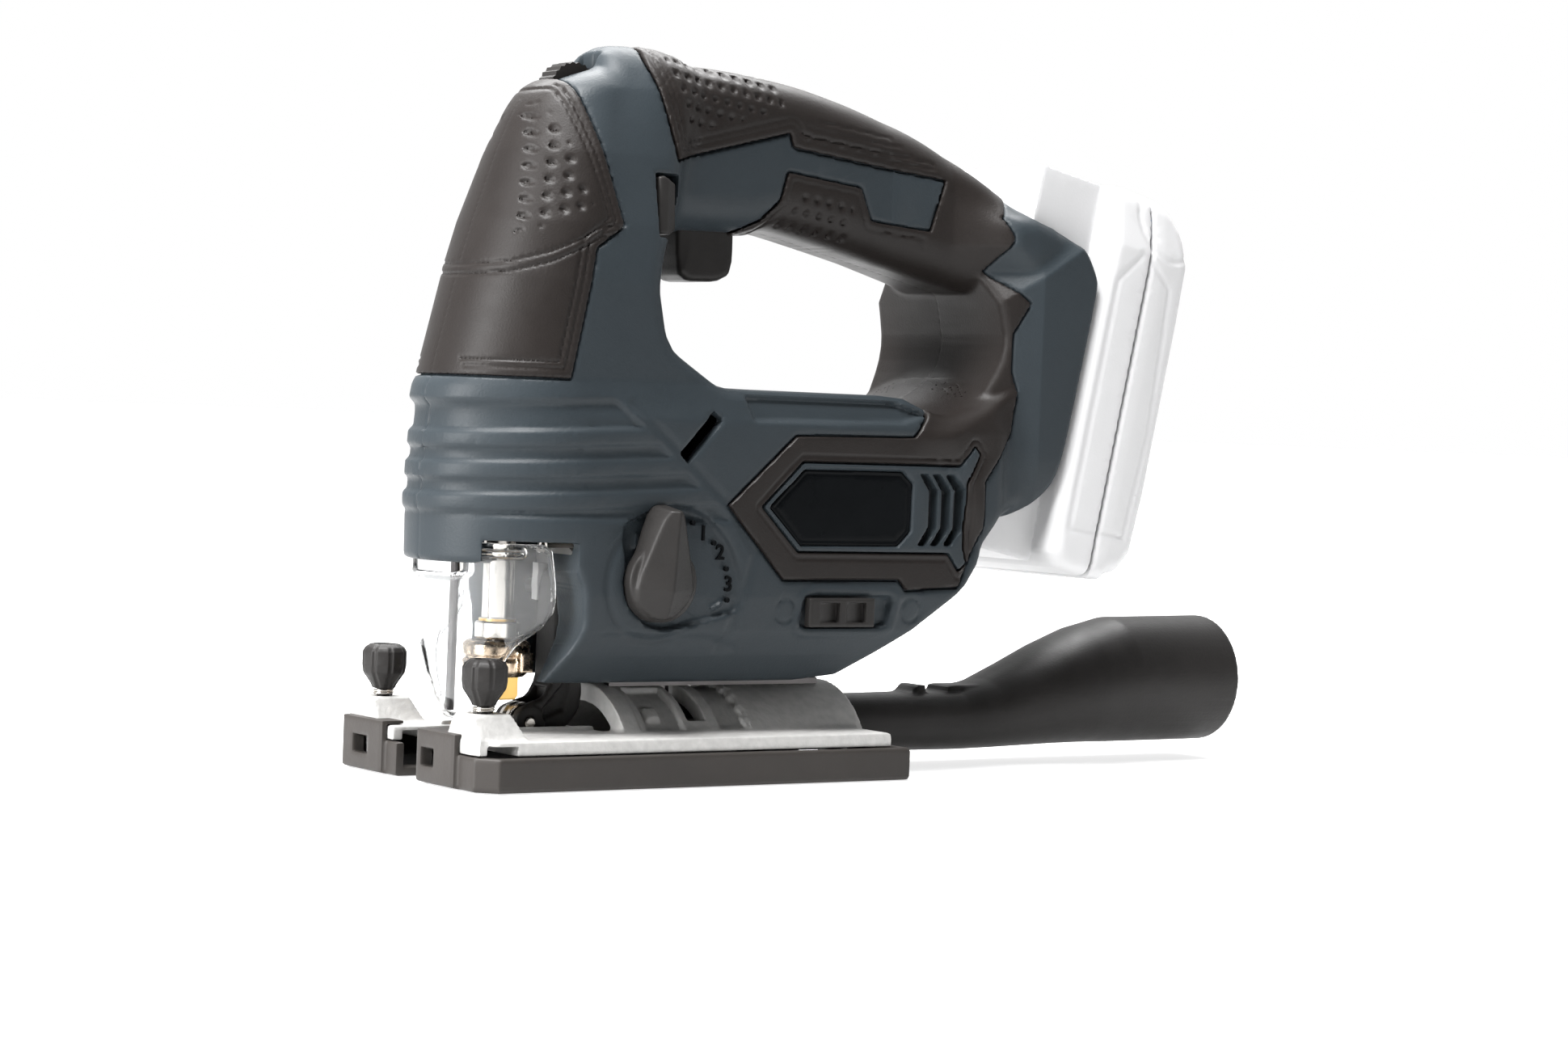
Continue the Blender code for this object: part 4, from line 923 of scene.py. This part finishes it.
def base_casting():
    g = Grid((-0.2, -38.2, 8.6), (134.4, 38.2, 25.2), 0.5)
    slab = meet(outline_field(PLATE_EDGE, g.x, g.y), g.z - 13.0, 0.9)
    slab = meet(slab, (g.z - 11.8) * 0.4 + (g.x - 131.8) * 0.9, 0.5)
    reach = np.hypot(g.y, g.z)
    lean = np.degrees(np.arctan2(g.out, g.z))
    edge = 93.5 + 0.9 * np.abs((lean / 5.5) % 2 - 1)
    thick = 0.5 * ((g.x < 59.6) | (g.x > edge + 1.5))
    pit = 1.6 * plateau(g.x, 61.6, 62.4, 73.4, 74.2) * plateau(lean, 14, 17, 56, 59)
    block = 1.3 * plateau(g.x, 63.4, 64, 67.6, 68.2) * plateau(lean, 36, 38, 47, 49)
    scale = 1.3 * plateau(g.x, 85.6, 86.2, edge, edge + 0.6) * (lean < 58)
    arch = overlap(reach - ARCH - thick + pit - block + scale, 19.7 - reach, 54 - g.x,
                   g.x - 133.4)
    floor = overlap(slab, -overlap(g.out - 15, 51 - g.x, g.z - 20))
    casting = join(floor, overlap(arch, 9.6 - g.z), 1.6)
    casting = carve(casting, overlap(reach - 19.7, 53.5 - g.x))
    wide = np.interp(g.z, (13.2, 14.4, 19.6), (8.8, 8.0, 5.3))
    across = np.abs(g.out - BOSS[1])
    boss = overlap(np.abs(g.x - BOSS[0]) - wide, across - wide + 0.3, g.z - 19.6, 0.9 - g.x)
    casting = join(casting, boss * 0.9, 0.7)
    casting = carve(casting, overlap(np.hypot(g.x - BOSS[0], across) - 2.2, 5 - g.z))
    casting = carve(casting, overlap(np.abs(g.x - 7.5) - 4.0, g.z - 11.8, 6.7 - g.out))
    casting = carve(casting, box_field(g, (-5, -9, 0), (50, 9, 30)))
    lip = overlap(np.abs(g.out - 11.5) - 1.0, np.abs(g.x - 33) - 17, g.z - 14.1, 9.3 - g.z)
    casting = join(casting, lip, 0.4)
    sweep = overlap(np.abs(g.x - 79) - 3.0, lean - 50, 12 - reach, reach - 30)
    casting = carve(casting, sweep, 0.4)
    casting = overlap(casting, 9.3 - g.z)
    skin("base_casting", g, casting, "cast_aluminium", "base", ["base_plate"], 0.45)
    for number, (_, _, start, end) in enumerate(HOOKS):
        g = Grid((2.6, start - 2.6, 2.4), (6, end + 2.6, 9.8), 0.35)
        face = overlap(between(g.y, start, end) - 1.2, np.abs(g.z - 6.2) - 3.1)
        tab = rounded(np.abs(g.x - 4.1) - 0.8, face, 0.4)
        skin(f"plate_tab_{number}", g, tab, "cast_aluminium", "base", keep=0.6)


def saddle():
    """The block under the casing that the arch swivels against."""
    g = Grid((57, -8, 23), (129, 8, 26.6), 0.4)
    reach = np.hypot(g.y, g.z)
    block = overlap(24.9 - reach, g.z - 26.1, np.abs(g.x - 93) - 35, g.out - 6.4)
    block = carve(block, rod_field(g.x, g.y, (79, 0), 3.2))
    skin("saddle_block", g, block, "dark_steel", "casing", ["base_saddle"], 0.4)


def sole_shoe():
    g = Grid((-2.2, -40, -0.4), (137.6, 40, 15), 0.6)
    edge = outline_field(SOLE_EDGE, g.x, g.y)
    shoe = rounded(edge, np.abs(g.z - 4.5) - 4.5, 0.9)
    shoe = carve(shoe, overlap(edge + 2.6, 2.4 - g.z))
    for start, end, window_start, window_end in HOOKS:
        hook = overlap(between(g.y, start, end), np.abs(g.z - 7.2) - 7.0, g.x - 5.6)
        hook = rounded(hook, -1.3 - g.x, 0.8)
        hook = carve(hook, overlap(0.35 - g.x, g.z - 13.2, 2.4 - g.z))
        shoe = join(shoe, hook, 0.5)
        window = between(g.y, window_start, window_end)
        shoe = carve(shoe, overlap(window, np.abs(g.z - 6.9) - 2.4, g.x - 3.0), 0.3)
    shoe = carve(shoe, box_field(g, (-5, -6, -5), (50, 6, 20)))
    shoe = carve(shoe, box_field(g, (129, -13, 2.4), (142, 13, 12)))
    skin("sole_shoe", g, shoe, "sole_plastic", "base", ["sole"], 0.45)


def fence_knobs():
    for tag, side in SIDES:
        x, y = BOSS[0], side * BOSS[1]
        g = Grid((x - 6.9, y - 6.9, 12.2), (x + 6.9, y + 6.9, 34.2), 0.32)
        u, v = g.x - x, g.y - y
        reach = np.hypot(u, v)
        sector = math.pi / 4
        turn = np.abs(np.mod(np.arctan2(v, u) + 0.2, sector) - sector / 2)
        wide = np.interp(g.z, (21.6, 22.6, 23.4, 26.0, 28, 31.6, 32.8, 33.7),
                         (3.0, 3.4, 3.9, 5.6, 5.9, 5.9, 5.2, 3.9))
        panel = reach * np.cos(turn) - wide
        corner = (sector / 2 - turn) * reach
        head = panel + 0.55 * np.clip(1 - (corner / 0.7) ** 2, 0, 1)
        head = overlap(head, g.z - 33.7, 21.6 - g.z)
        head = carve(head, overlap(reach - 2.8, 33.1 - g.z), 0.3)
        knob = np.minimum(head, overlap(reach - 1.8, 12.4 - g.z, g.z - 24))
        skin(f"fence_knob_{tag}_moulding", g, knob, "black_plastic", f"knob_{tag}",
             [f"fence_knob_{tag}"], 0.6, 30)
        coil(f"wound_spring_{tag}", (x, y), 2.55, 0.34, 19.95, 21.5, 2.2, "bright_steel", "base",
             [f"fence_spring_{tag}"])


GUARD_LEVELS = (15.5, 17, 22, 28, 35, 47, 56, 64)
GUARD_FRONTS = (12.8, 11.8, 8.9, 7.1, 5.6, 4.2, 3.3, 3.0)
GUARD_HALVES = (10.5, 12, 15.5, 19, 22, 24.4, 25.1, 25.1)
GUARD_SIDE = [(-4, 55.2), (7.2, 55.0), (7.0, 60.5), (8.4, 63.3), (27.0, 63.3), (29.2, 50),
              (28.8, 45), (26.0, 41), (20, 36.5), (17.2, 30), (16, 22), (15, 16), (8, 15.6),
              (-4, 18)]


def guard():
    g = Grid((1.5, -26.6, 14.8), (31, 26.6, 64.2), 0.45)
    front = np.interp(g.z, GUARD_LEVELS, GUARD_FRONTS)
    half = np.interp(g.z, GUARD_LEVELS, GUARD_HALVES)
    bow = half + 1.0
    bowl = oval(np.maximum(front + bow - g.x, 0), g.out, bow, half)
    side = side_view(g, eased(GUARD_SIDE, 1, 0.12))
    rim = 0.45 * np.clip(1 - np.abs(side + 0.8) / 0.9, 0, 1)
    sheet = meet(overlap(bowl - rim, -(bowl + 1.2)), side, 0.5)
    bead = np.abs(line_field([(9.5, 60.9), (18.5, 60.9)], g.x, g.z) - 1.0) - 0.45
    bead = overlap(bead, np.abs(bowl - 0.3) - 0.6)
    sheet = join(sheet, np.where(g.out > 15, bead, 9.0), 0.3)
    skin("chip_guard", g, sheet, "clear_plastic", "casing", ["blade_guard"], 0.6,
         50)


def nozzle():
    g = Grid((103.2, -20.4, 3.4), (279.4, 20.4, 44), 0.75)
    along = (104, 134, 135.5, 160, 180, 192, 204, 216, 228, 240, 279)
    middle = np.interp(g.x, along, (11.4, 11.4, 12.3, 12.35, 12.6, 14.2, 16.9, 19.8, 22.2, 23.6,
                                    23.9))
    across = np.interp(g.x, along, (7, 7, 11.7, 11.9, 12.3, 13.4, 15.2, 17, 18.4, 19.1, 19.1))
    tall = np.interp(g.x, along, (6.6, 6.6, 8.1, 8.3, 8.7, 10.1, 12.5, 15.1, 17.4, 18.9, 19.1))
    power = np.interp(g.x, (170, 235), (2.9, 2.0))
    u, v = g.out / across, np.abs(g.z - middle) / tall
    reach = (np.maximum(u, 1e-3) ** power + np.maximum(v, 1e-3) ** power) ** (1 / power)
    tube = (reach - 1) * np.minimum(across, tall)
    lugs = join(box_field(g, (163.2, -4.6, 18), (168.8, 4.6, 23.0)),
                box_field(g, (176.6, -5.2, 18), (187.4, 5.2, 22.8)))
    lugs = overlap(lugs, ((g.z - 23) * 0.7 + (163.2 + 2.6 - g.x) * 0.7))
    body = join(tube, lugs, 0.6)
    ends = overlap(104 - g.x, g.x - 278.5)
    body = meet(body, ends, 1.2)
    body = carve(body, tube + 1.9)
    skin("nozzle_moulding", g, body, "black_plastic", "nozzle", ["dust_nozzle"],
         0.35)


# Battery -----------------------------------------------------

PACK_SIDE = [(0.8, -31), (4.5, -35.5), (12, -36), (23, -36), (24.5, -33.6), (29, -32), (33.9, -24),
             (33.9, 60), (31.5, 70), (25, 76.4), (19, 78), (3, 78), (0.8, 75)]


def pack_forms(g):
    along, behind = rail_axes(g)
    side = outline_field(eased(PACK_SIDE, 1, 0.2), behind, along)
    half = 34.4 - 0.10 * np.maximum(behind - 22, 0) - 0.30 * np.maximum(along - 60, 0)
    case = rounded(side, g.out - half, 4.5)
    panel = outline_field([(6, -24), (27, -22), (29, 10), (26, 52), (14, 60), (6, 50)],
                          behind, along)
    case = groove(case, panel, 1.8, 0.5, g.out > 24)
    case = groove(case, np.hypot(behind - 24, along - 72) - 12, 2.0, 0.45, g.out > 24)
    room = overlap(box_in_rail(g, (-33.4, 75.4), (3.3, 31.5), 31.8), case + 2.3)
    return along, behind, case, room


def box_in_rail(g, span, depth, half):
    """A box that leans with the rail, from its reach along, behind and to each side."""
    along, behind = rail_axes(g)
    return overlap(between(along, *span), between(behind, *depth), g.out - half)


def battery():
    g = Grid((164, -36, 51), (245, 36, 178), 0.78)
    along, behind, case, room = pack_forms(g)
    case = carve(case, room)
    front = overlap(case, behind - 16.85)
    front = groove(front, behind - 17, 1.6, 0.3)
    front = join(front, box_in_rail(g, (-35, 77), (-21.5, 2), 24.6), 0.3)
    front = carve(front, box_in_rail(g, (61.8, 90), (-19, -2), 16))
    for y in (-12.0, -4.0, 4.0, 12.0):
        front = carve(front, overlap(np.abs(g.y - y) - 1.0, along + 4, behind + 13))
    skin("pack_front_shell", g, front, "pack_plastic", "battery", ["battery_case_front"], 0.35)
    rear = overlap(case, 17.15 - behind)
    rear = groove(rear, behind - 17, 1.6, 0.3)
    skin("pack_rear_shell", g, rear, "pack_plastic", "battery", ["battery_case_rear"], 0.35)
    g = Grid((186, -16.4, 156), (214, 16.4, 179), 0.45)
    along, behind = rail_axes(g)
    button = box_in_rail(g, (67, 77.6), (-18, -3), 15.4)
    teeth = 0.5 * np.cos(behind * 2.1) * rise(along, 76, 77)
    button = rounded(button + 0.6, button + 0.6, 0.6) + np.maximum(teeth, 0)
    skin("pack_latch", g, button, "pack_plastic", "latch", ["battery_latch"], 0.5)


# Assembly ----------------------------------------------------

# The CAD nodes that stay visible as they are
NODE_LOOKS = {
    "dark_steel": ("motor_can", "guard_rod", "tilt_clamp_plate", "tilt_clamp_screw"),
    "bright_steel": ("plunger_yoke", "drive_gear", "rotor_shaft", "gear_axle", "front_bearing",
                     "rear_bearing", "fork_pin"),
    "bronze": ("upper_bush", "lower_bush"),
    "copper": ("armature",),
    "cast_aluminium": ("gearbox_frame", "guide_block"),
    "board_green": ("control_board",),
    "cell_sleeve": ("battery_cells",),
    "black_plastic": ("trigger_switch", "orbit_cam", "speed_dial", "brush_cap", "cooling_fan",
                      "terminal_block"),
}


def dress_nodes():
    for look, names in NODE_LOOKS.items():
        for name in names:
            mesh = frame["nodes"][name].data
            mesh.materials.clear()
            mesh.materials.append(finish(look))


def main():
    camera()
    studio()
    dress_nodes()
    for tag, side in SIDES:
        for piece in (housing, nose_rubber, rear_rubber, name_plate):
            piece(tag, side)
    for piece in (orbit_knob, dial_figures, blower_slider, lock_paddle, trigger, casing_screws,
                  plunger_rod, clamp_collar, pendulum, base_casting, saddle, sole_shoe,
                  fence_knobs, guard, nozzle, battery):
        piece()


main()
